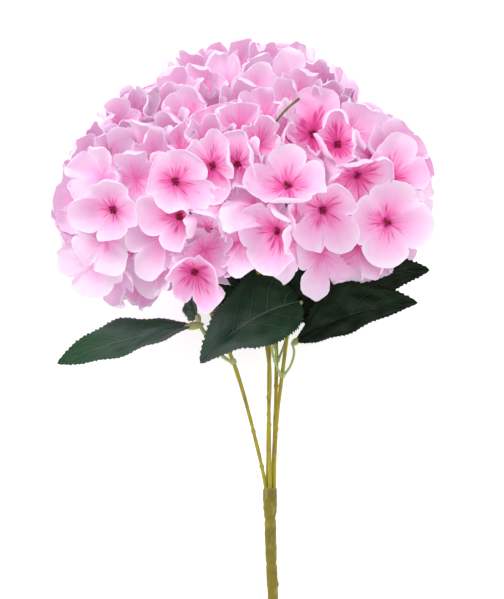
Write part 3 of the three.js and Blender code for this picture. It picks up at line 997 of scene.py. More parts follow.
HEADS = {
    "head_left": HeadPlan(vec(-108, 232, -1), 79, 95, vec(-74, 186, 0),
                          ((-130, 237, 45), (-78, 259, 30), (-75, 231, 70)),
                          ((vec(-0.60, 0.80, 0), 9.0),)),
    "head_right": HeadPlan(vec(62, 254, -5), 81, 140, vec(34, 195, 0),
                           ((42, 237, 40), (100, 226, 55), (98, 262, 20), (71, 265, 40), (56, 289, 60),
                            (46, 192, 20))),
    "head_front": HeadPlan(vec(-27, 248, 56), 77, 273, vec(-11, 188, 24),
                           ((12, 251, 30), (5, 215, 70), (-62, 190, 50))),
    "head_top_left": HeadPlan(vec(-79, 283, -9), 82, 29, vec(-45, 220, -18), ((-48, 342, 10),),
                              ((vec(-0.55, 0.84, 0), -14.0), (vec(0.26, 0.97, 0), 15.0))),
    "head_top_right": HeadPlan(vec(3, 305, -12), 83, 129, vec(5, 230, -14), ((36, 299, 50), (-22, 352, 35)),
                               ((vec(-0.60, 0.80, 0), 12.0),)),
}

Tip = tuple[float, float, float]
Placed = tuple[str, Array, Array, tuple[float, ...] | None]     # head, middle, way to each tip, rolls


@dataclass(frozen=True)
class Seen:
    """A floret at the front as the camera sees it.

    x_px and y_px are its middle in the camera's picture, y downwards, and rise is how far it stands out of
    the round of its head, in millimetres. Each tip is seen from the middle: right and up in pixels, and
    towards the camera in millimetres. rolls is how far the rim of each lobe rolls over, in degrees, on those
    that are open.
    """

    x_px: float
    y_px: float
    rise: float
    tips: tuple[Tip, ...]
    rolls: tuple[float, ...] | None = None


# The florets in the middle of the bunch, the topmost first. Those with rolls are wide open.
MIDDLE_FLORETS = (
    Seen(323, 209, 4, ((28, 17, 10), (-30, 18, 10), (-20, -40, 0), (26, -39, 0)), (100, 115, 15, 20)),
    Seen(175.4, 181.6, 4, ((25, 23, 6), (-36, 4, 4), (-8, -28, 6), (34, -22, 2)), (95, 60, 10, 25)),
    Seen(287, 186, 3, ((43, 12, 2), (1, 40, 4), (-45, 1, 4), (3, -20, 24)), (15, 25, 20, 70)),
    Seen(386.5, 222.2, 3, ((46, -8, -4), (13, 40, 2), (-38, 2, 0), (0, -43, -2)), (15, 35, 60, 10)),
    Seen(337.2, 144.7, 2, ((17, 4, 24), (-2, 39, 10), (-17, -4, 24), (22, -18, 10)), (120, 150, 150, 20)),
    Seen(312.7, 133.8, 0, ((20, 3, 24), (13, 45, 0), (-22, -2, 22), (3, -26, 14)), (40, 60, 110, 60)),
    Seen(179.3, 216.4, 1, ((14, -14, 28), (2, 9, 30), (-43, 8, 0), (-1, -34, 2)), (110, 120, 30, 40)),
    Seen(356.7, 175.1, 1, ((37, 13, 4), (2, 10, 28), (-33, -8, 4), (14, -41, 0)), (100, 150, 100, 15)),
    Seen(113.8, 209.1, 3, ((30, -12, 4), (-10, 28, 16), (-46, -2, -6), (3, -34, 2)), (90, 80, 20, 10)),
    Seen(277.5, 231.5, 1, ((12, -5, 28), (6, 18, 22), (-36, 17, 4), (-2, -46, 0)), (120, 110, 40, 20)),
    Seen(212, 166.4, -7, ((16, 4, 22), (4, 38, 2), (-24, 22, 8), (12, -38, 0)), (90, 60, 80, 20)),
    Seen(237.5, 164.2, -7, ((19, 9, 24), (3, 35, 0), (-9, -30, 4), (12, -26, 12)), (60, 110, 20, 60)),
    Seen(195, 271.7, 14, ((27, -4, 8), (-30, 0, 14), (-18, -30, 0), (17, -43, -2)), (50, 20, 10, 15)),
    Seen(391.7, 178.6, 0, ((41, 6, 0), (13, 43, 0), (-30, 8, 4), (26, -28, 4)), (30, 60, 60, 20)),
    Seen(320.5, 252, 2, ((12, 14, -10), (-14, -24, 18), (-6, -47, 4), (15, -37, 10))),
    Seen(358, 247, -3, ((14, 8, -10), (-20, -16, 14), (-9, -32, -8), (20, -33, 6))),
    Seen(165, 236, -2, ((20, 12, -6), (-41, 0, 6), (-20, -43, 0), (18, -30, 0))),
    Seen(105, 239, -2, ((26, 8, 6), (-22, 22, 4), (-28, -16, 4), (11, -36, 2))),
    Seen(97, 262, -1, ((22, 12, 4), (-18, 28, 8), (-42, 2, 0), (-14, -36, -4))),
    Seen(113, 272, -3, ((24, -12, 6), (-6, 20, 8), (-30, -22, -4), (3, -38, -4))),
    Seen(158, 268, -4, ((20, 6, 4), (-14, 16, 8), (-20, -22, -6), (0, -26, 0))),
    Seen(140, 284, -6, ((12, 10, 4), (-10, 14, 8), (-8, -24, 10), (4, -26, 0))),
    Seen(256, 207, -8, ((22, 12, -10), (-12, 22, -10), (-27, -27, 12), (12, -32, 4))),
    Seen(205, 250, -6, ((22, 18, 10), (-14, 24, 4), (-26, -10, 4), (10, -28, 0))),
    Seen(240, 242, -9, ((18, 14, 6), (-10, 20, 4), (-24, -14, 6), (4, -32, 0))),
    Seen(224, 250, -12, ((20, 10, 6), (-10, 22, 4), (-24, -10, 4), (4, -26, 0))),
    Seen(262, 250, -12, ((18, 10, 6), (-8, 22, 4), (-22, -14, 4), (6, -24, 0))),
)

# The florets at the top of the bunch.
TOP_FLORETS = (
    Seen(180, 150, 0, ((20, 22, 18), (-12, 33, 4), (-40, -8, 4), (-2, -14, 22))),
    Seen(144, 149, 1, ((26, 8, 8), (3, 30, 8), (-35, 9, 2), (-18, -22, 6))),
    Seen(214, 126, 1, ((24, 6, 20), (6, 34, 8), (-37, 12, 2), (-20, -20, 14))),
    Seen(111, 157, 0, ((22, 10, 8), (-6, 30, 6), (-26, 6, 4), (0, -22, 22))),
    Seen(103, 178, -1, ((20, -14, 8), (-2, 30, 8), (-38, 14, 0), (-38, -12, -2))),
    Seen(136, 178, -3, ((24, 4, 4), (-8, 24, 4), (-24, -4, 4), (4, -26, 4))),
    Seen(92, 146, -4, ((20, 10, 8), (-12, 34, 0), (-28, 4, -4), (-4, -2, 26))),
    Seen(120, 123, 0, ((24, 0, 12), (-8, 32, 2), (-30, 10, 0), (-4, -2, 27))),
    Seen(150, 108, 0, ((26, 6, 12), (-2, 34, 2), (-34, 8, 2), (-2, 2, 28))),
    Seen(176, 96, 0, ((26, 8, 14), (6, 40, 0), (-30, 16, 2), (2, 4, 28))),
    Seen(190, 118, -1, ((22, 0, 16), (6, 30, 8), (-32, 12, 4), (-6, 0, 28))),
    Seen(226, 88, 1, ((16, 10, 24), (6, 32, 4), (-12, 43, 0), (-16, -6, 24))),
    Seen(239, 68, -4, ((24, 16, 4), (0, 34, 0), (-28, 14, 0), (2, 2, 28))),
    Seen(252, 98, 1, ((24, -2, 18), (17, 33, 4), (-24, 10, 12), (-2, 2, 28))),
    Seen(262, 84, -2, ((26, 10, 6), (6, 34, 0), (-26, 10, 8), (4, 4, 28))),
    Seen(263, 118, 1, ((20, 14, 20), (2, 34, 8), (-30, 18, 4), (-4, 0, 28))),
    Seen(281, 112, -3, ((24, 8, 6), (10, 34, 4), (-24, 14, 8), (4, 4, 27))),
    Seen(202, 92, -2, ((22, 10, 14), (-2, 34, 4), (-28, 12, 4), (-6, 2, 28))),
    Seen(286, 88, -3, ((26, 12, 2), (6, 36, 0), (-24, 12, 4), (0, 3, 27))),
    Seen(240, 128, -2, ((24, -4, 16), (8, 30, 4), (-26, 14, 8), (-4, -2, 28))),
    Seen(288, 140, -4, ((22, 4, 8), (4, 28, 4), (-26, 6, 8), (-2, -2, 27))),
    Seen(340, 95, -1, ((30, 14, 0), (-3, 34, 0), (-28, 10, 4), (2, 2, 28))),
    Seen(316, 86, -3, ((26, 14, 4), (4, 34, 0), (-26, 8, 4), (2, 4, 27))),
    Seen(350, 132, 0, ((43, 2, 0), (12, 34, 4), (-20, 16, 12), (10, -8, 26))),
    Seen(358, 112, -3, ((32, 10, 0), (8, 32, 0), (-24, 12, 8), (4, 0, 27))),
    Seen(396, 152, -3, ((34, 4, -4), (8, 38, 0), (-26, 8, 8), (8, -4, 26))),
    Seen(300, 66, -5, ((28, 10, 0), (0, 28, 0), (-28, 8, 0), (0, 4, 26))),
    Seen(212, 70, -2, ((22, 6, 16), (4, 28, 4), (-22, 14, 10), (0, 14, 26))),
    Seen(88, 160, -6, ((20, 6, 14), (-4, 26, 4), (-20, 18, 4), (0, 10, 26))),
    Seen(192, 80, -4, ((22, 6, 16), (4, 27, 4), (-22, 10, 16), (0, 14, 26))),
    Seen(336, 84, -6, ((22, 4, 14), (10, 26, 4), (-24, 10, 16), (0, 14, 26))),
    Seen(352, 98, -5, ((24, 2, 12), (10, 24, 4), (-20, 14, 14), (0, 14, 26))),
    Seen(318, 70, -6, ((22, 2, 14), (6, 24, 4), (-24, 8, 14), (0, 14, 26))),
    Seen(372, 126, -4, ((24, 2, 12), (10, 22, 4), (-20, 14, 14), (0, 14, 26))),
)

# The florets at the left and right edges, below all the others.
EDGE_FLORETS = (
    Seen(402, 200, -7, ((18, 8, -8), (4, 34, 0), (-24, 10, 8), (6, -26, 0))),
    Seen(78, 200, -7, ((16, 10, 10), (-8, 34, 2), (-26, 0, -8), (-6, -34, 0))),
    Seen(80, 232, -7, ((20, 12, 10), (-14, 26, 2), (-24, -6, -8), (-2, -34, 0))),
    Seen(92, 172, -8, ((20, 6, 10), (-14, 30, 0), (-30, -2, -6), (-4, -28, 4))),
)

# The upper outline of the flowers in the camera's picture, from left to right, in pixels.
OUTLINE_PX = (
    (52, 232), (52, 214), (53, 201), (61, 183), (64, 165), (68, 144), (74, 127), (92, 119), (107, 108),
    (115, 92), (138, 86), (154, 81), (169, 70), (185, 56), (198, 48), (226, 41), (244, 36), (262, 36),
    (280, 42), (309, 45), (322, 59), (337, 65), (350, 74), (354, 90), (366, 95), (378, 109), (402, 118),
    (412, 123), (417, 141), (428, 161), (433, 175), (434, 200),
)


def outline_at(x_px: float) -> float:
    """Height in pixels of the flowers' upper outline."""
    return float(np.interp(x_px, *zip(*OUTLINE_PX)))


class FrontChart:
    """Finds where the florets at the front are in the bunch, from where the camera sees them."""

    MM_PER_PIXEL = 0.85             # at the depth of the fork
    PICTURE_MIDDLE = (252, 299.5)   # in pixels
    ROUNDS = 12                     # until a middle lies on the round of its head
    BESIDE = 4                      # depth in front of a head's middle, of a floret beside all heads
    NEAR_LIFT = 10                  # pixels that a lobe which points at the camera is moved up by
    NEAR_DEPTH = 26                 # of the tip of such a lobe
    NEAR_FROM = 20                  # depth from which a lobe counts as one
    FIRST_DEPTH = 60.0
    FILL_ROWS = 14
    FILL_COLUMNS = 28
    FILL_START_PX = (40, 48)        # the first seat of those that fill in, x and y
    FILL_STEP_PX = (18, 16)
    FILL_STAGGER_PX = 9             # every other row stands this much to the right
    FILL_JITTER_PX = (5, 4)
    FILL_INSIDE_PX = 20             # they stand this far below the outline
    FILL_LOWEST_PX = 170
    FULL_PX = ((150, 190, 330), (128, 300, 400))    # none below this y, from this x to this x
    FILL_RISE = (-6, -2)
    FILL_UP = (26, 32)              # length of their upper lobes in pixels
    FILL_ASIDE = (20, 26)           # the same of those to the left and the right
    FILL_TURN = 22                  # degrees that they are turned by at most
    FILL_APART = 16                 # pixels from one that fills in to all others
    FILL_RANK = 3                   # pixels by which one that fills in counts as higher up
    SHORTEST = 0.35                 # share of its length that a lobe keeps inside the outline
    OUTLINE_SIDES = (55, 430)       # pixels between which the outline holds lobes in
    SHORTENED_RISE = 18
    INNER_LENGTH = (29, 30)         # least length of a lobe, and how far it rises at most to have it
    OUTER_LENGTH = (34, 25)         # the same at the top and at the edges

    def __init__(self, seed: int = 77) -> None:
        """Starts the draws."""
        self.random = Random(seed)

    def florets(self) -> list[Placed]:
        """Places every floret at the front.

        Returns:
            The topmost first: the head, the middle, the way to the tip of each lobe, and the rolls.
        """
        upper = [self._near_lifted(seen) for seen in TOP_FLORETS]
        filling = self._filling([*MIDDLE_FLORETS, *upper, *EDGE_FLORETS])
        ranked = [(-seen.y_px, seen) for seen in upper]
        ranked += [(-seen.y_px + self.FILL_RANK, seen) for seen in filling]
        ranked.sort(key=lambda pair: pair[0])
        outer = [self._inside(seen) for seen in (*(seen for _, seen in ranked), *EDGE_FLORETS)]
        return ([self._placed(seen, *self.INNER_LENGTH, sinks=True) for seen in MIDDLE_FLORETS]
                + [self._placed(seen, *self.OUTER_LENGTH, sinks=False) for seen in outer])

    def _near_lifted(self, seen: Seen) -> Seen:
        """Moves up the last lobe of a floret if it points at the camera."""
        x, y, depth = seen.tips[3]
        if depth < self.NEAR_FROM:
            return seen
        return replace(seen, tips=(*seen.tips[:3], (x, y + self.NEAR_LIFT, self.NEAR_DEPTH)))

    def _filling(self, others: list[Seen]) -> list[Seen]:
        """Draws florets that fill in between the others at the top."""
        found: list[Seen] = []
        (first_x, first_y), (step_x, step_y) = self.FILL_START_PX, self.FILL_STEP_PX
        jitter_x, jitter_y = self.FILL_JITTER_PX
        for row in range(self.FILL_ROWS):
            for column in range(self.FILL_COLUMNS):
                x = first_x + column * step_x + (row % 2) * self.FILL_STAGGER_PX
                x += self.random.uniform(-jitter_x, jitter_x)
                y = first_y + row * step_y + self.random.uniform(-jitter_y, jitter_y)
                full = any(y > top and left < x < right for top, left, right in self.FULL_PX)
                if full or not outline_at(x) + self.FILL_INSIDE_PX < y < self.FILL_LOWEST_PX:
                    continue
                if min(math.hypot(x - o.x_px, y - o.y_px) for o in (*others, *found)) >= self.FILL_APART:
                    found.append(self._drawn(x, y, self.random.uniform(*self.FILL_RISE)))
        return found

    def _drawn(self, x_px: float, y_px: float, rise: float) -> Seen:
        """A cupped floret with drawn lobes: to the right, up, to the left and towards the camera."""
        draw = self.random.uniform
        turn = math.radians(draw(-self.FILL_TURN, self.FILL_TURN))
        up, right, left = draw(*self.FILL_UP), draw(*self.FILL_ASIDE), draw(*self.FILL_ASIDE)
        flat = [(right, draw(4, 10)), (0, up), (-left, draw(4, 10)), (draw(-4, 4), draw(9, 17))]
        depths = [draw(12, 22), draw(2, 10), draw(12, 22), self.NEAR_DEPTH]
        cos, sin = math.cos(turn), math.sin(turn)
        tips = tuple((x * cos - y * sin, x * sin + y * cos, depth) for (x, y), depth in zip(flat, depths))
        return Seen(x_px, y_px, rise, tips)

    def _inside(self, seen: Seen) -> Seen:
        """Shortens the lobes of a floret that reach past the outline."""
        tips = []
        for x, y, depth in seen.tips:
            tip_x = seen.x_px + x
            limit = outline_at(tip_x) + self.random.uniform(1, 5)
            if seen.y_px - y < limit and self.OUTLINE_SIDES[0] < tip_x < self.OUTLINE_SIDES[1]:
                share = max(self.SHORTEST, (seen.y_px - limit) / y) if y > 0 else 1
                x, y, depth = x * share, y * share, depth + (1 - share) * self.SHORTENED_RISE
            tips.append((x, y, depth))
        return replace(seen, tips=tuple(tips))

    def _at_depth(self, x_px: float, y_px: float, depth: float) -> tuple[float, float]:
        """Where a point of the picture is in the bunch, in millimetres, if it is at a depth."""
        scale = self.MM_PER_PIXEL * (CAMERA_DISTANCE - depth) / CAMERA_DISTANCE
        return (CAMERA_AIM[0] + (x_px - self.PICTURE_MIDDLE[0]) * scale,
                CAMERA_AIM[1] + (self.PICTURE_MIDDLE[1] - y_px) * scale)

    def _on_head(self, seen: Seen) -> tuple[str, float, float, float]:
        """The head that a floret is on, and the floret's middle."""
        z = self.FIRST_DEPTH
        for _ in range(self.ROUNDS):
            x, y = self._at_depth(seen.x_px, seen.y_px, z)
            fronts = []
            for head, plan in HEADS.items():
                across = (x - plan.middle[0]) ** 2 + (y - plan.middle[1]) ** 2
                radius = plan.radius - PETAL_INSET + seen.rise
                if across < radius * radius:
                    fronts.append((plan.middle[2] + math.sqrt(radius * radius - across), head))
            if fronts:
                z, head = max(fronts, key=lambda front: front[0])
            else:
                head = min(HEADS, key=lambda name: math.hypot(x - HEADS[name].middle[0],
                                                              y - HEADS[name].middle[1]) - HEADS[name].radius)
                z = HEADS[head].middle[2] + self.BESIDE
        return head, x, y, z

    def _placed(self, seen: Seen, least: float, cap: float, sinks: bool) -> Placed:
        """A floret in the bunch, in whole millimetres.

        Args:
            seen: The floret as the camera sees it.
            least: The least length of a lobe. One that looks shorter rises more, or sinks more.
            cap: How far it does so at most.
            sinks: Whether a lobe that falls away from the camera goes on doing so.

        Returns:
            The head, the middle, the way to the tip of each lobe, and the rolls.
        """
        head, x, y, z = self._on_head(seen)
        lobes = []
        for right, up, depth in seen.tips:
            tip_x, tip_y = self._at_depth(seen.x_px + right, seen.y_px - up, z + depth)
            flat = (tip_x - x) ** 2 + (tip_y - y) ** 2
            if flat + depth * depth < least * least:
                needed = math.sqrt(max(least * least - flat, 0))
                depth = -min(needed, cap) if sinks and depth < 0 else min(needed, max(cap, depth))
            lobes.append((tip_x - x, tip_y - y, depth))
        return head, np.round(vec(x, y, z)) + 0.0, np.round(np.array(lobes)) + 0.0, seen.rolls


class Flowers:
    """All the florets of the bunch: those at the front one by one, then the rest as the solids have them."""

    SHUT = 0.2                  # openness of a front floret that isn't wide open
    HALF = 0.5                  # openness of all florets behind them
    FRONT_LEAN = 0.5            # how far a front floret faces the way in which its lobes rise
    FRONT_EASE = 1.06           # their cloth is longer than its rolled rim shows by this much
    FRONT_RANK = 100.0
    LEAST_FRONT_RANK = 20.0
    FACING_RANK = 10.0
    FRONT_ROOM = 29.0           # from a front floret to one of the solids' florets
    FILL_ROOM = 21.0            # from a front floret to one that fills in
    FILL_SEATS = 320
    FILL_SPACING = 25.0
    FILL_BORDER = 22.0
    UNDER_SEATS = 90
    UNDER_DEPTH = 20.0
    UNDER_SPACING = 30.0
    FACING_SEED = 500           # seeds of the draws, counted on from the head's own
    FILL_SEED = 900
    UNDER_SEED = 1700
    CLOTH_SEED = 4000           # counted on by floret
    BEAD_SEED = 9000
    BARE_PEDICEL = (vec(0, 298, 60), vec(6.5, 309, 85), vec(14, 317, 89), vec(23, 324.5, 86))
    PETAL_EASE = 1.12           # cloth petals are longer than the solids' by this much

    def __init__(self) -> None:
        """Places every floret and lays out its cloth."""
        self.placed: list[Floret] = []
        self._place_front()
        self._place_facing()
        self._place_round()
        self._place_fill()
        self._place_under()
        for number, floret in enumerate(self.placed):
            floret.spread(np.random.default_rng(self.CLOTH_SEED + number))

    def _place_front(self) -> None:
        """Places the florets at the front."""
        for number, (head, middle, lobes, rolls) in enumerate(FrontChart().florets()):
            lobes = lobes * self.FRONT_EASE
            ring = np.roll(lobes, -1, axis=0)
            facing = unit(np.cross(lobes, ring).sum(axis=0))
            axis = unit(facing + self.FRONT_LEAN * unit(lobes).sum(axis=0) / 4)
            floret = Floret(head, middle, axis, lobes, self.FRONT_RANK - number,
                            openness=1.0 if rolls else self.SHUT,
                            rolls=np.radians(rolls) if rolls else None)
            self.placed.append(floret)

    @staticmethod
    def _draw(draw: Draw, facing: bool) -> dict[str, Any]:
        """The draws of one floret, in the order in which the solids make them."""
        cup = 0.05 if facing else draw.between(0.05, 0.4)
        spread = 0.14 if facing else 0.2
        return {
            "length": PETAL_LENGTH * draw.between(0.9, 1.04),
            "lifts": vec(*(cup + draw.between(-spread, spread) for _ in range(4))),
            "valley": cup * 0.8 + draw.between(-0.1, 0.1),
            "lean": vec(*(draw.between(-0.2, 0.2) for _ in range(3))),
            "sink": 0.0 if facing else draw.between(-5, 2),
        }

    def _add(self, head: str, direction: Array, axis: Array, turn: float, own: dict[str, Any],
             rank: float, fine: bool = True) -> None:
        """Adds a floret on a head.

        Args:
            head: The head's name.
            direction: From the head's middle to the floret.
            axis: Where the floret faces.
            turn: The roll about that axis, in degrees.
            own: The floret's draws.
            rank: Florets of higher rank lie over those of lower.
            fine: Whether its cloth has the full number of faces.
        """
        plan = HEADS[head]
        at = plan.middle + direction * (plan.radius - PETAL_INSET + own["sink"])
        axis = unit(axis)
        angle = np.radians(90 * np.arange(4))
        rise = np.arctan(own["lifts"])
        lobes = np.stack([np.cos(angle) * np.cos(rise), np.sin(angle) * np.cos(rise), np.sin(rise)], axis=1)
        lobes = lobes @ turn_to(axis, turn).T * own["length"] * self.PETAL_EASE
        self.placed.append(Floret(head, at, axis, lobes, rank, openness=self.HALF, fine=fine))

    def _place_facing(self) -> None:
        """Places the florets that show their faces at the front of the solids."""
        for head, plan in HEADS.items():
            draw = Draw(plan.seed + self.FACING_SEED)
            for x, y, turn in plan.facing:
                own = self._draw(draw, facing=True)
                reach = plan.radius - PETAL_INSET
                flat = vec(x - plan.middle[0], y - plan.middle[1])
                flat *= min(1.0, reach * 0.9 / np.linalg.norm(flat))
                direction = vec(*flat, math.sqrt(reach**2 - flat @ flat)) / reach
                at = plan.middle + direction * reach
                if all(np.linalg.norm(floret.at - at) > self.FRONT_ROOM for floret in self.placed):
                    self._add(head, direction, direction + own["lean"] + vec(0, 0, 0.5), turn, own,
                              self.FACING_RANK)

    def _fits(self, head: str, at: Array, direction: Array, spacing: float, border: float,
              room: float) -> bool:
        """Whether a floret may sit at a place.

        Args:
            head: The head that it is on.
            at: The place.
            direction: From the head's middle to the place.
            spacing: Its least distance to florets of the same head.
            border: Its least distance to florets of other heads.
            room: Its least distance to the florets at the front, if that is less.

        Returns:
            Whether it is clear of all others and of the head's bare underside.
        """
        plan = HEADS[head]
        room = room * (1 - 0.4 * smooth(-direction[2], -0.15, 0.05))
        share = np.linalg.norm(at - plan.middle) / plan.radius
        others = [h for name, h in HEADS.items() if name != head]
        if any(np.linalg.norm(at - h.middle) / h.radius < share for h in others):
            return False
        for floret in self.placed:
            least = spacing if floret.head == head else border
            if floret.rank > self.LEAST_FRONT_RANK:
                least = min(least, room)
            if np.linalg.norm(floret.at - at) < least:
                return False
        down = unit(plan.stem_end - plan.middle)
        return math.acos(max(-1.0, min(1.0, direction @ down))) >= math.radians(BARE_UNDERSIDE)

    def _spiral(self, head: str, seats: int, seed: int) -> list[tuple[Array, dict[str, Any], float]]:
        """Evenly spaced seats round a head, each with its floret's draws and turn."""
        draw = Draw(seed)
        spin = draw.between(0, math.pi * 2)
        found = []
        for i in range(seats):
            z = 1 - (2 * i + 1) / seats
            angle = i * math.pi * (3 - math.sqrt(5)) + spin
            ring = math.sqrt(1 - z * z)
            own = self._draw(draw, facing=False)
            turn = draw.between(0, 90)
            found.append((vec(math.cos(angle) * ring, math.sin(angle) * ring, z), own, turn))
        return found

    def _place_round(self) -> None:
        """Fills the heads as the solids do."""
        for head, plan in HEADS.items():
            for direction, own, turn in self._spiral(head, FLORET_SEATS, plan.seed):
                at = plan.middle + direction * (plan.radius - PETAL_INSET + own["sink"])
                if self._fits(head, at, direction, FLORET_SPACING, BORDER_SPACING, self.FRONT_ROOM):
                    axis = direction + own["lean"] + self._forward(direction)
                    self._add(head, direction, axis, turn, own, rank=own["sink"])

    def _place_fill(self) -> None:
        """Squeezes further, more cupped florets in between."""
        for head, plan in HEADS.items():
            for direction, own, turn in self._spiral(head, self.FILL_SEATS, plan.seed + self.FILL_SEED):
                own["sink"] -= 4.0 + 4.0 * smooth(direction[2], 0.2, 0.7)
                own["lifts"] = own["lifts"] * 1.3 + 0.45
                at = plan.middle + direction * (plan.radius - PETAL_INSET + own["sink"])
                if self._fits(head, at, direction, self.FILL_SPACING, self.FILL_BORDER, self.FILL_ROOM):
                    axis = direction + own["lean"] + self._forward(direction)
                    self._add(head, direction, axis, turn, own, rank=own["sink"])

    def _place_under(self) -> None:
        """Places a plainer layer below, which shows only in the gaps."""
        for head, plan in HEADS.items():
            for direction, own, turn in self._spiral(head, self.UNDER_SEATS, plan.seed + self.UNDER_SEED):
                own["sink"] -= self.UNDER_DEPTH
                at = plan.middle + direction * (plan.radius - PETAL_INSET + own["sink"])
                if self._fits(head, at, direction, self.UNDER_SPACING, self.UNDER_SPACING, self.FILL_ROOM):
                    self._add(head, direction, direction, turn, own, rank=own["sink"], fine=False)

    @staticmethod
    def _forward(direction: Array) -> Array:
        """How far a floret leans to the front: more on the front half of a head."""
        return vec(0, 0, 0.4) * smooth(direction[2], -0.5, 0.3)

    def petals(self, laid: BunchFrame) -> None:
        """Makes the petals of each head, with every floret bent to pass under those of higher rank."""
        order = sorted(self.placed, key=lambda floret: -floret.rank)
        data = {head: MeshData() for head in HEADS}
        for number, floret in enumerate(order):
            near = [o for o in order[:number] if np.linalg.norm(o.at - floret.at) < Floret.REACH]
            floret.settle(near[::-1])
            floret.measure()
            points, faces, marks, side = floret.shell()
            openness = np.full(len(points), floret.openness)
            data[floret.head].add(points, faces, petal=marks[:, :3], tone=marks[:, 3], across=marks[:, 4],
                                  side=side, openness=openness)
        for head, mesh in data.items():
            piece = mesh.make(head.replace("head", "petals"), PETAL_CLOTH, Slot.PETAL, laid, rests=True)
            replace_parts(piece, head)

    def beads(self, laid: BunchFrame) -> None:
        """Makes the beads in the middles of the florets of each head."""
        for head in HEADS:
            mesh = MeshData()
            shown = [floret for floret in self.placed if floret.head == head and floret.shows_middle]
            for number, floret in enumerate(shown):
                random = np.random.default_rng(self.BEAD_SEED + number)
                for i in range(9):
                    angle = i * math.pi / 2 + random.uniform(-0.5, 0.5) + (math.pi / 4 if i > 4 else 0)
                    reach = 0.0 if i == 0 else (1.7 if i < 5 else 2.9) * random.uniform(0.75, 1.2)
                    height = 1.9 - 0.40 * reach + random.uniform(-0.3, 0.3)
                    place = vec(math.cos(angle) * reach, math.sin(angle) * reach, height)
                    size = random.uniform(0.95, 1.35) if i < 5 else random.uniform(0.6, 0.95)
                    tilt = unit(place * vec(1, 1, 0) * 0.35 + vec(0, 0, 1))
                    points, faces = ball(place, vec(size, size, size * 1.3), turn_to(tilt))
                    mesh.add(points @ floret.turn.T + self._centre(floret), faces)
            mesh.make(head.replace("head", "beads"), BEAD_PASTE, Slot.PETAL, laid)

    @staticmethod
    def _centre(floret: Floret) -> Array:
        """The middle of a floret's cloth, which may lie below its own place."""
        return floret.cloth[0].mean(axis=0)

    def pedicels(self, laid: BunchFrame) -> None:
        """Makes the floret stalks of each head, which fan out from the end of the stem."""
        for head, plan in HEADS.items():
            mesh = MeshData()
            hub = plan.middle + unit(plan.stem_end - plan.middle) * STEM_SEAT
            mesh.add(*ball(hub, vec(4.5, 4.5, 6.0), turn_to(unit(plan.stem_end - plan.middle)), 7, 12))
            if head == "head_top_right":
                bare = route_through(self.BARE_PEDICEL, 14)
                mesh.add(*tube(bare, np.linspace(0.8, 1.2, len(bare)), 8))
            for floret in (f for f in self.placed if f.head == head):
                end = self._centre(floret)
                if not floret.shows_middle:
                    end = end - floret.axis * 4.0
                out = end - floret.axis * 2.5
                bend = hub + (out - hub) * 0.62 - floret.axis * 5.0
                route = route_through([hub, bend, out, end + floret.axis * 0.4], 9)
                radius = np.interp(np.linspace(0, 1, 10), [0, 0.8, 0.93, 1], [1.2, 0.9, 1.7, 2.0])
                mesh.add(*tube(route, radius, 7))
            mesh.make(head.replace("head", "pedicels"), PEDICEL_COATING, Slot.STEM, laid)


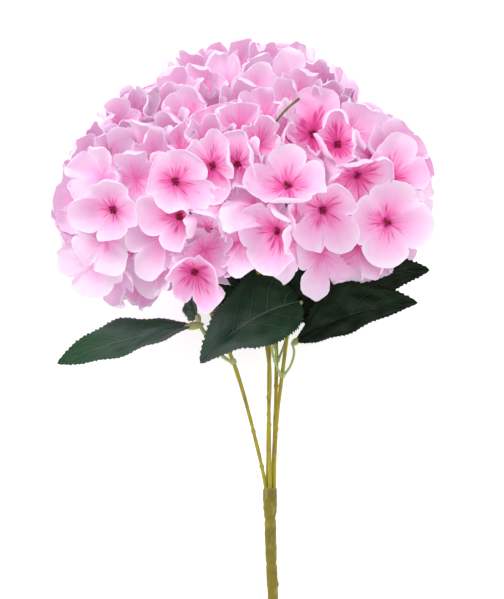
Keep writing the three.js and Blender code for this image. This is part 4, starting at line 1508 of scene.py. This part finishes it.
# ---- Leaves ----------------------------------------------------------------------------------------------
@dataclass(frozen=True)
class LeafBlade:
    """A toothed leaf on a curved spine.

    stalk holds the way points of its stalk, spine its base, bend and tip, up the way its upper face looks,
    tip_up the same at the tip if it twists, half its half width, fold how far its halves fold up and
    tip_fold how much more they do towards the tip, in degrees. turned is for veins that rise to the base,
    tone for how green and light it is, partly its own colour and partly painted light for how brightly it
    catches the light, cup for the size of the cup at its base, and shy for how much narrower its
    halves start.
    """

    name: str
    stalk: tuple[Array, ...]
    spine: tuple[Array, Array, Array]
    half: float
    fold: float
    up: Array
    tip_up: Array | None = None
    tone: float = 0.0
    tip_fold: float = 0.0
    turned: bool = False
    cup: float = 1.0
    shy: tuple[float, float] = (0.0, 0.0)

    VEINS = 6.0                 # side veins along each half
    TEETH = 30
    THICKNESS = 0.55
    COLUMNS = vec(0.0, 0.035, 0.09, 0.18, 0.30, 0.42, 0.54, 0.66, 0.77, 0.87, 0.95, 1.0)

    @staticmethod
    def width(t: Array) -> Array:
        """Half width at a share of the length, as a share of the greatest half width."""
        return np.maximum(0, np.sin(math.pi * t**0.8)) ** 0.75 * (1 - 0.25 * t) * 1.12

    def _rows(self) -> tuple[Array, Array]:
        """Shares of the length of the rows of points, and how far out the edge's teeth stand at each."""
        tooth = np.arange(self.TEETH)[:, None] + vec(0.0, 0.4, 0.78)
        t = 0.02 + 0.96 * tooth.ravel() / self.TEETH
        size = 1 + 0.5 * np.sin(np.arange(self.TEETH) * 2.3 + self.half)
        spread = (vec(-0.7, 0.0, 1.2) * size[:, None]).ravel()
        return np.append(t, 1.0), np.append(spread, 0.0)

    def surface(self) -> tuple[Array, Array]:
        """The middle surface of the blade.

        Returns:
            The points, and for each its share of the length and its place across, from -1 to 1.
        """
        rows, spread = self._rows()
        columns = np.concatenate([-self.COLUMNS[:0:-1], self.COLUMNS])
        t, s = np.meshgrid(rows, columns, indexing="ij")
        a, b, c = (np.asarray(p, float) for p in self.spine)
        tt = t[..., None]
        along = unit(2 * (1 - tt) * (b - a) + 2 * tt * (c - b))
        middle = (1 - tt) ** 2 * a + 2 * tt * (1 - tt) * b + tt**2 * c
        up = self.up + (0 if self.tip_up is None else (self.tip_up - self.up) * tt)
        side = unit(np.cross(along, up))
        face = unit(np.cross(side, along))
        outer = smooth(np.abs(s), 0.80, 1.0)
        width = self.width(t)
        reach = s * self.half * width + np.sign(s) * spread[:, None] * outer * np.minimum(width * 3, 1)
        fold = np.radians(self.fold + self.tip_fold * smooth(t, 0.58, 0.74))
        vein_phase = (t - np.abs(s) * 0.24 - s * s * 0.06) * self.VEINS
        near_vein = np.abs(vein_phase - np.round(vein_phase))
        swell = np.minimum(near_vein * 5, 1) * smooth(np.abs(s), 0.02, 0.12) * smooth(np.abs(s), 1.0, 0.75)
        wave = np.sin(t * 19 + s * 2.2 + self.half) * np.abs(s) ** 2.5 * 1.5 * smooth(t, 0, 0.2)
        lift = swell * 1.3 + wave
        reach = reach * (1 - np.where(s < 0, *self.shy) * (1 - smooth(t, 0.0, 0.5)))
        shape = (side * (reach * np.cos(fold))[..., None]
                 + face * (np.abs(reach) * np.sin(fold) + lift * width)[..., None])
        return middle + shape, np.stack([1 - t if self.turned else t, s], axis=-1)

    def make(self, laid: BunchFrame) -> None:
        """Makes the leaf."""
        middle, shares = self.surface()
        points, faces = sheet_shell(middle[:, ::-1], np.full(middle.shape[:2], self.THICKNESS))
        own = shares[:, ::-1].reshape(-1, 2)
        n = len(own)
        side = np.repeat([0.0, 1.0], n)
        leaf = np.concatenate([np.tile(own, (2, 1)), side[:, None]], axis=1)
        mesh = MeshData()
        mesh.add(points, faces, leaf=leaf, tone=np.full(2 * n, self.tone))
        piece = mesh.make(self.name + "_cloth", LEAF_CLOTH, Slot.LEAF, laid, rests=True)
        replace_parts(piece, self.name)


@dataclass(frozen=True)
class Stem:
    """A coated wire from the stalk to the middle of its head."""

    name: str
    head: str
    route: tuple[Array, ...]
    rings: tuple[float, ...] = ()

    SIDES = 18
    STEPS = 150

    def line(self, steps: int = STEPS) -> Array:
        """The stem's middle line, in even steps."""
        first, last = self.route[0], self.route[-1]
        middle = HEADS[self.head].middle
        seat = middle + unit(last - middle) * STEM_SEAT
        return route_through([first - vec(0, SOCKET_DEPTH, 0), *self.route, seat], steps)

    def make(self, laid: BunchFrame) -> None:
        """Makes the stem."""
        line = self.line()
        random = np.random.default_rng(len(self.name) * 31)
        knots = np.interp(line[:, 1], np.linspace(-20, 300, 33), random.uniform(-0.10, 0.10, 33))
        radius = STEM_RADIUS * (1.04 + knots)
        for ring in self.rings:
            near = np.abs(line[:, 1] - ring)
            radius = radius + 0.55 * np.exp(-(near / 1.6) ** 2) - 0.22 * np.exp(-((near - 3.2) / 1.4) ** 2)
        mesh = MeshData()
        mesh.add(*tube(line, radius, self.SIDES))
        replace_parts(mesh.make(self.name + "_wire", STEM_COATING, Slot.STEM, laid), self.name)


STEMS = {
    stem.name: stem for stem in (
        Stem("stem_left", "head_left",
             (vec(-3.5, 0, 0.9), vec(-11.2, 38, 1), vec(-30.2, 106, 2), vec(-50, 150, 2), vec(-74, 186, 0)),
             (50.0, 20.0)),
        Stem("stem_right", "head_right",
             (vec(3.5, 0, 0.9), vec(5.1, 51, 3), vec(10.3, 98, 3), vec(18.7, 153, 3), vec(34, 195, 0)),
             (52.0,)),
        Stem("stem_front", "head_front",
             (vec(0, 0, 3.5), vec(-1.1, 76, 8), vec(-0.9, 123, 9), vec(-3, 150, 11), vec(-11, 188, 24)),
             (79.0, 56.0)),
        Stem("stem_top_left", "head_top_left",
             (vec(-2, 0, -3), vec(-1.1, 60, -8), vec(-1, 111, -14), vec(-14, 160, -20), vec(-45, 220, -18)),
             (64.0,)),
        Stem("stem_top_right", "head_top_right",
             (vec(2, 0, -3), vec(4.5, 60, -6), vec(5.6, 111, -8), vec(5, 160, -14), vec(5, 230, -14)),
             (88.0,)),
    )
}


@dataclass(frozen=True)
class LeafSet:
    """A collar on a stem with a curved stalk and a cup for each of its leaves."""

    name: str
    stem: str
    height: float
    leaves: tuple[LeafBlade, ...]

    COLLAR_HEIGHT = 5.0
    COLLAR_RADIUS = 3.0
    STALK_RADIUS = 1.05

    def _collar(self, at: Array, along: Array) -> tuple[Array, list[Array]]:
        """The collar: a short sleeve with rounded lips."""
        share = np.linspace(0, 1, 9)
        radius = self.COLLAR_RADIUS * (0.80 + 0.22 * np.sin(share * math.pi) ** 0.6 - 0.08 * share)
        radius[[0, -1]] = STEM_RADIUS * 1.05
        line = at + along * ((share - 0.5) * self.COLLAR_HEIGHT)[:, None]
        return tube(line, radius, 20)

    def _cup(self, seat: Array, heading: Array, up: Array, size: float) -> tuple[Array, list[Array]]:
        """The cup that holds a leaf's base: a pointed boat shape, wider than deep."""
        share = np.linspace(0, 1, 12)
        width = 1.0 + 3.1 * size * np.sin(math.pi * np.minimum(share * 1.12, 1)) ** 0.8
        line = seat + heading * ((share * 13.0 - 6.5) * size)[:, None]
        points, faces = tube(line, width, 16)
        side = unit(np.cross(heading, up))
        face = np.cross(side, heading)
        depth = (points - seat) @ face
        points = points - np.outer(depth * 0.45, face) - face * 0.6
        return points, faces

    def make(self, laid: BunchFrame) -> None:
        """Makes the collar, the stalks and the cups as one piece."""
        line = STEMS[self.stem].line(400)
        place = int(np.argmax(line[:, 1] > self.height))
        at, along = line[place], unit(line[place + 1] - line[place])
        mesh = MeshData()
        mesh.add(*self._collar(at, along))
        for leaf in self.leaves:
            heading = unit(leaf.spine[1] - leaf.spine[0])
            sideways = leaf.stalk[0] - at
            sideways = unit(sideways - along * (sideways @ along))
            root = at + sideways * (self.COLLAR_RADIUS - 1.2)
            seat = leaf.spine[0] - heading * 0.3
            route = route_through([root, *leaf.stalk, seat - heading * 4.0 * min(leaf.cup, 1), seat], 40)
            radius = self.STALK_RADIUS * (1 + 0.35 * np.exp(-np.linspace(0, 12, 41)))
            mesh.add(*tube(route, radius, 12))
            mesh.add(*self._cup(seat, heading, leaf.up, leaf.cup))
        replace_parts(mesh.make(self.name + "_stalks", LEAF_STALK_COATING, Slot.LEAF_STALK, laid), self.name)


LEAF_SETS = (
    LeafSet("leafset_left", "stem_left", 109, (
        LeafBlade("leaf_left", (vec(-40, 113, 7), vec(-52, 127, 12)),
                  (vec(-66, 140, 12), vec(-128, 130, 20), vec(-179, 108, 22)), 28, 8, vec(0.1, 0.95, 0.3),
                  vec(0, 0.7, 0.7), tone=0.55, cup=1.55, shy=(0.15, 0.35)),
        LeafBlade("leaf_left_back", (vec(-44, 118, -2), vec(-55, 134, -2)),
                  (vec(-62, 146, -6), vec(-70, 168, -28), vec(-66, 188, -62)), 15, 12, vec(-0.95, 0.3, 0.1),
                  tone=0.4),
    )),
    LeafSet("leafset_right", "stem_right", 98, (
        LeafBlade("leaf_front", (vec(6, 104, 9), vec(2.2, 124, 16)),
                  (vec(26, 160, 24), vec(-19, 153, 56), vec(-58, 109, 52)), 30, 4, vec(-0.3, 0.3, 0.9),
                  tone=0.3, tip_fold=22, turned=True, cup=0.2, shy=(0.0, -0.8)),
        LeafBlade("leaf_right", (vec(17, 105, 5), vec(20.4, 117, 8)),
                  (vec(22, 127, 10), vec(62, 155, 22), vec(124, 159, 24)), 31, 22, vec(0, 0.67, 0.74),
                  cup=0.8, shy=(0.75, 0.3)),
    )),
    LeafSet("leafset_top_right", "stem_top_right", 110, (
        LeafBlade("leaf_middle", (vec(4.5, 120, -5), vec(-2, 134, -6)),
                  (vec(-9, 146, -7), vec(-28, 180, -6), vec(-45, 232, 18)), 27, 8, vec(-0.1, -0.2, 0.97)),
        LeafBlade("leaf_right_inner", (vec(11, 120, -7), vec(16, 134, -8)),
                  (vec(22, 146, -9), vec(55, 160, -22), vec(104, 172, -40)), 28, 12, vec(-0.1, 0.6, 0.8),
                  cup=0.3),
    )),
    LeafSet("leafset_front", "stem_front", 134, (
        LeafBlade("leaf_right_high", (vec(6, 141, 3), vec(14, 148, -4)),
                  (vec(26, 159, -6), vec(80, 184, -6), vec(136, 187, -2)), 28, 10, vec(-0.2, 0.55, 0.8),
                  cup=0.3),
        LeafBlade("leaf_between", (vec(3, 142, 11), vec(6, 149, 11)),
                  (vec(7, 156, 10), vec(14, 190, 9), vec(12, 238, 38)), 22, 10, vec(-0.35, -0.1, 0.9)),
    )),
    LeafSet("leafset_top_left", "stem_top_left", 134, (
        LeafBlade("leaf_back_left", (vec(-12, 138, -24), vec(-18, 140, -30)),
                  (vec(-24, 146, -36), vec(-34, 178, -52), vec(-46, 236, -62)), 27, 8, vec(0, 0, -1)),
        LeafBlade("leaf_back_right", (vec(4, 138, -23), vec(12, 138, -30)),
                  (vec(16, 144, -34), vec(30, 174, -50), vec(38, 220, -62)), 27, 8, vec(0, 0, -1)),
    )),
)


@dataclass(frozen=True)
class Stalk:
    """The moulded stalk: swollen round the stems, wrinkled at two wrapped joints, cut plainly at its end."""

    SIDES = 44
    STEP = 0.7
    PROFILE = ((2.5, 4.6), (1.6, 5.3), (0.5, 5.9), (-6, 6.1), (-16, 5.8), (-22, 5.0), (-25, 4.5), (-28, 5.0),
               (-50, 4.9), (-60, 4.7), (-62.5, 4.2), (-65, 4.8), (-78, 4.5), (-80.5, 4.9), (-83, 4.4),
               (-STALK_LENGTH, 4.3))

    def make(self, laid: BunchFrame) -> None:
        """Makes the stalk."""
        heights, radii = (np.array(column) for column in zip(*self.PROFILE))
        y = np.arange(heights[0], -STALK_LENGTH - self.STEP, -self.STEP)
        y[-1] = -STALK_LENGTH
        radius = np.interp(-y, -heights, radii)
        angle = np.linspace(0, 2 * math.pi, self.SIDES, endpoint=False)
        a, yy = np.meshgrid(angle, y)
        wrap = 0.16 * np.sin(yy * 0.9 + a) * smooth(yy, -30, -18)
        wrinkle = 0.10 * np.sin(a * 5 + yy * 0.35) + 0.07 * np.sin(a * 3 - yy * 0.8)
        about = np.mod(a + math.pi, 2 * math.pi) - math.pi
        knob = 0.9 * np.exp(-((yy + 79) / 3.5) ** 2) * np.exp(-(about / 0.5) ** 2)
        r = radius[:, None] + wrap + wrinkle + knob
        x = r * np.cos(a) + STALK_SWAY * (np.minimum(yy, 0) / STALK_LENGTH) ** 2
        z = r * np.sin(a)
        rows = len(y)
        side = np.stack([x, yy, z], axis=-1).reshape(-1, 3)
        points = np.concatenate([side, [[0, heights[0] + 0.6, 0], [STALK_SWAY, -STALK_LENGTH, 0]]])
        i = np.arange(self.SIDES)
        after = (i + 1) % self.SIDES
        n = rows * self.SIDES
        top = np.stack([np.full(self.SIDES, n), after, i], axis=1)
        last = (rows - 1) * self.SIDES
        low = np.stack([np.full(self.SIDES, n + 1), last + i, last + after], axis=1)
        mesh = MeshData()
        mesh.add(points, [grid_faces(rows, self.SIDES, wrap=True)[:, ::-1], top, low])
        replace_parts(mesh.make("stalk_cast", STALK_COATING, Slot.STALK, laid, rests=True), "stalk")


# ---- Studio ----------------------------------------------------------------------------------------------
@dataclass(frozen=True)
class Studio:
    """A pale floor, soft light and the camera, which looks straight down on the bunch."""

    aim: tuple[float, float] = CAMERA_AIM
    distance: float = CAMERA_DISTANCE
    frame_height: float = 509.15
    sensor: float = 36.0

    SURROUNDINGS = 0.70         # strength of the bright surroundings
    LAMPS = (                   # name, place and size in metres, power in watts
        ("key", vec(-1.05, 1.10, 1.85), 0.9, 21),
        ("fill", vec(1.2, -0.2, 2.0), 1.5, 8),
    )

    def floor(self) -> None:
        """Makes the floor."""
        bpy.ops.mesh.primitive_plane_add(size=30, location=(0, 0, -0.0005))
        floor = bpy.context.object
        floor.name = "floor"
        floor.data.materials.append(PaleFloor().material())

    def camera(self, laid: BunchFrame) -> None:
        """Makes the camera."""
        data = bpy.data.cameras.new("camera")
        data.sensor_fit = "AUTO"
        data.sensor_width = self.sensor
        data.lens = self.sensor * self.distance / self.frame_height
        data.clip_end = 50
        camera = bpy.data.objects.new("camera", data)
        camera.location = laid.to_row(vec(*self.aim, self.distance)[None])[0]
        camera.rotation_euler = (math.radians(LIE_TILT), 0, 0)
        bpy.context.scene.collection.objects.link(camera)
        bpy.context.scene.camera = camera

    @staticmethod
    def _lamp(name: str, place: Array, size: float, power: float) -> None:
        """Makes a square soft light that shines at the bunch."""
        data = bpy.data.lights.new(name, "AREA")
        data.size = size
        data.energy = power
        lamp = bpy.data.objects.new(name, data)
        lamp.location = place
        lamp.rotation_euler = Vector(-place).to_track_quat("-Z", "Y").to_euler()
        bpy.context.scene.collection.objects.link(lamp)

    def light(self) -> None:
        """Makes the lights and the bright surroundings."""
        world = bpy.data.worlds.new("world")
        world.use_nodes = True
        background = world.node_tree.nodes["Background"]
        background.inputs["Color"].default_value = (1.0, 1.0, 1.0, 1.0)
        background.inputs["Strength"].default_value = self.SURROUNDINGS
        scene = bpy.context.scene
        scene.world = world
        scene.view_settings.view_transform = "Standard"
        for name, place, size, power in self.LAMPS:
            self._lamp(name, place, size, power)


def main() -> None:
    """Builds the pieces in order."""
    logging.basicConfig(level=logging.INFO, format="%(name)s: %(message)s")
    laid = BunchFrame()
    studio = Studio()
    studio.floor()
    studio.camera(laid)
    studio.light()
    Stalk().make(laid)
    for stem in STEMS.values():
        stem.make(laid)
    for leaf_set in LEAF_SETS:
        leaf_set.make(laid)
        for leaf in leaf_set.leaves:
            leaf.make(laid)
    flowers = Flowers()
    LOG.info("florets: %d", len(flowers.placed))
    flowers.petals(laid)
    flowers.beads(laid)
    flowers.pedicels(laid)


if __name__ == "__main__":
    main()
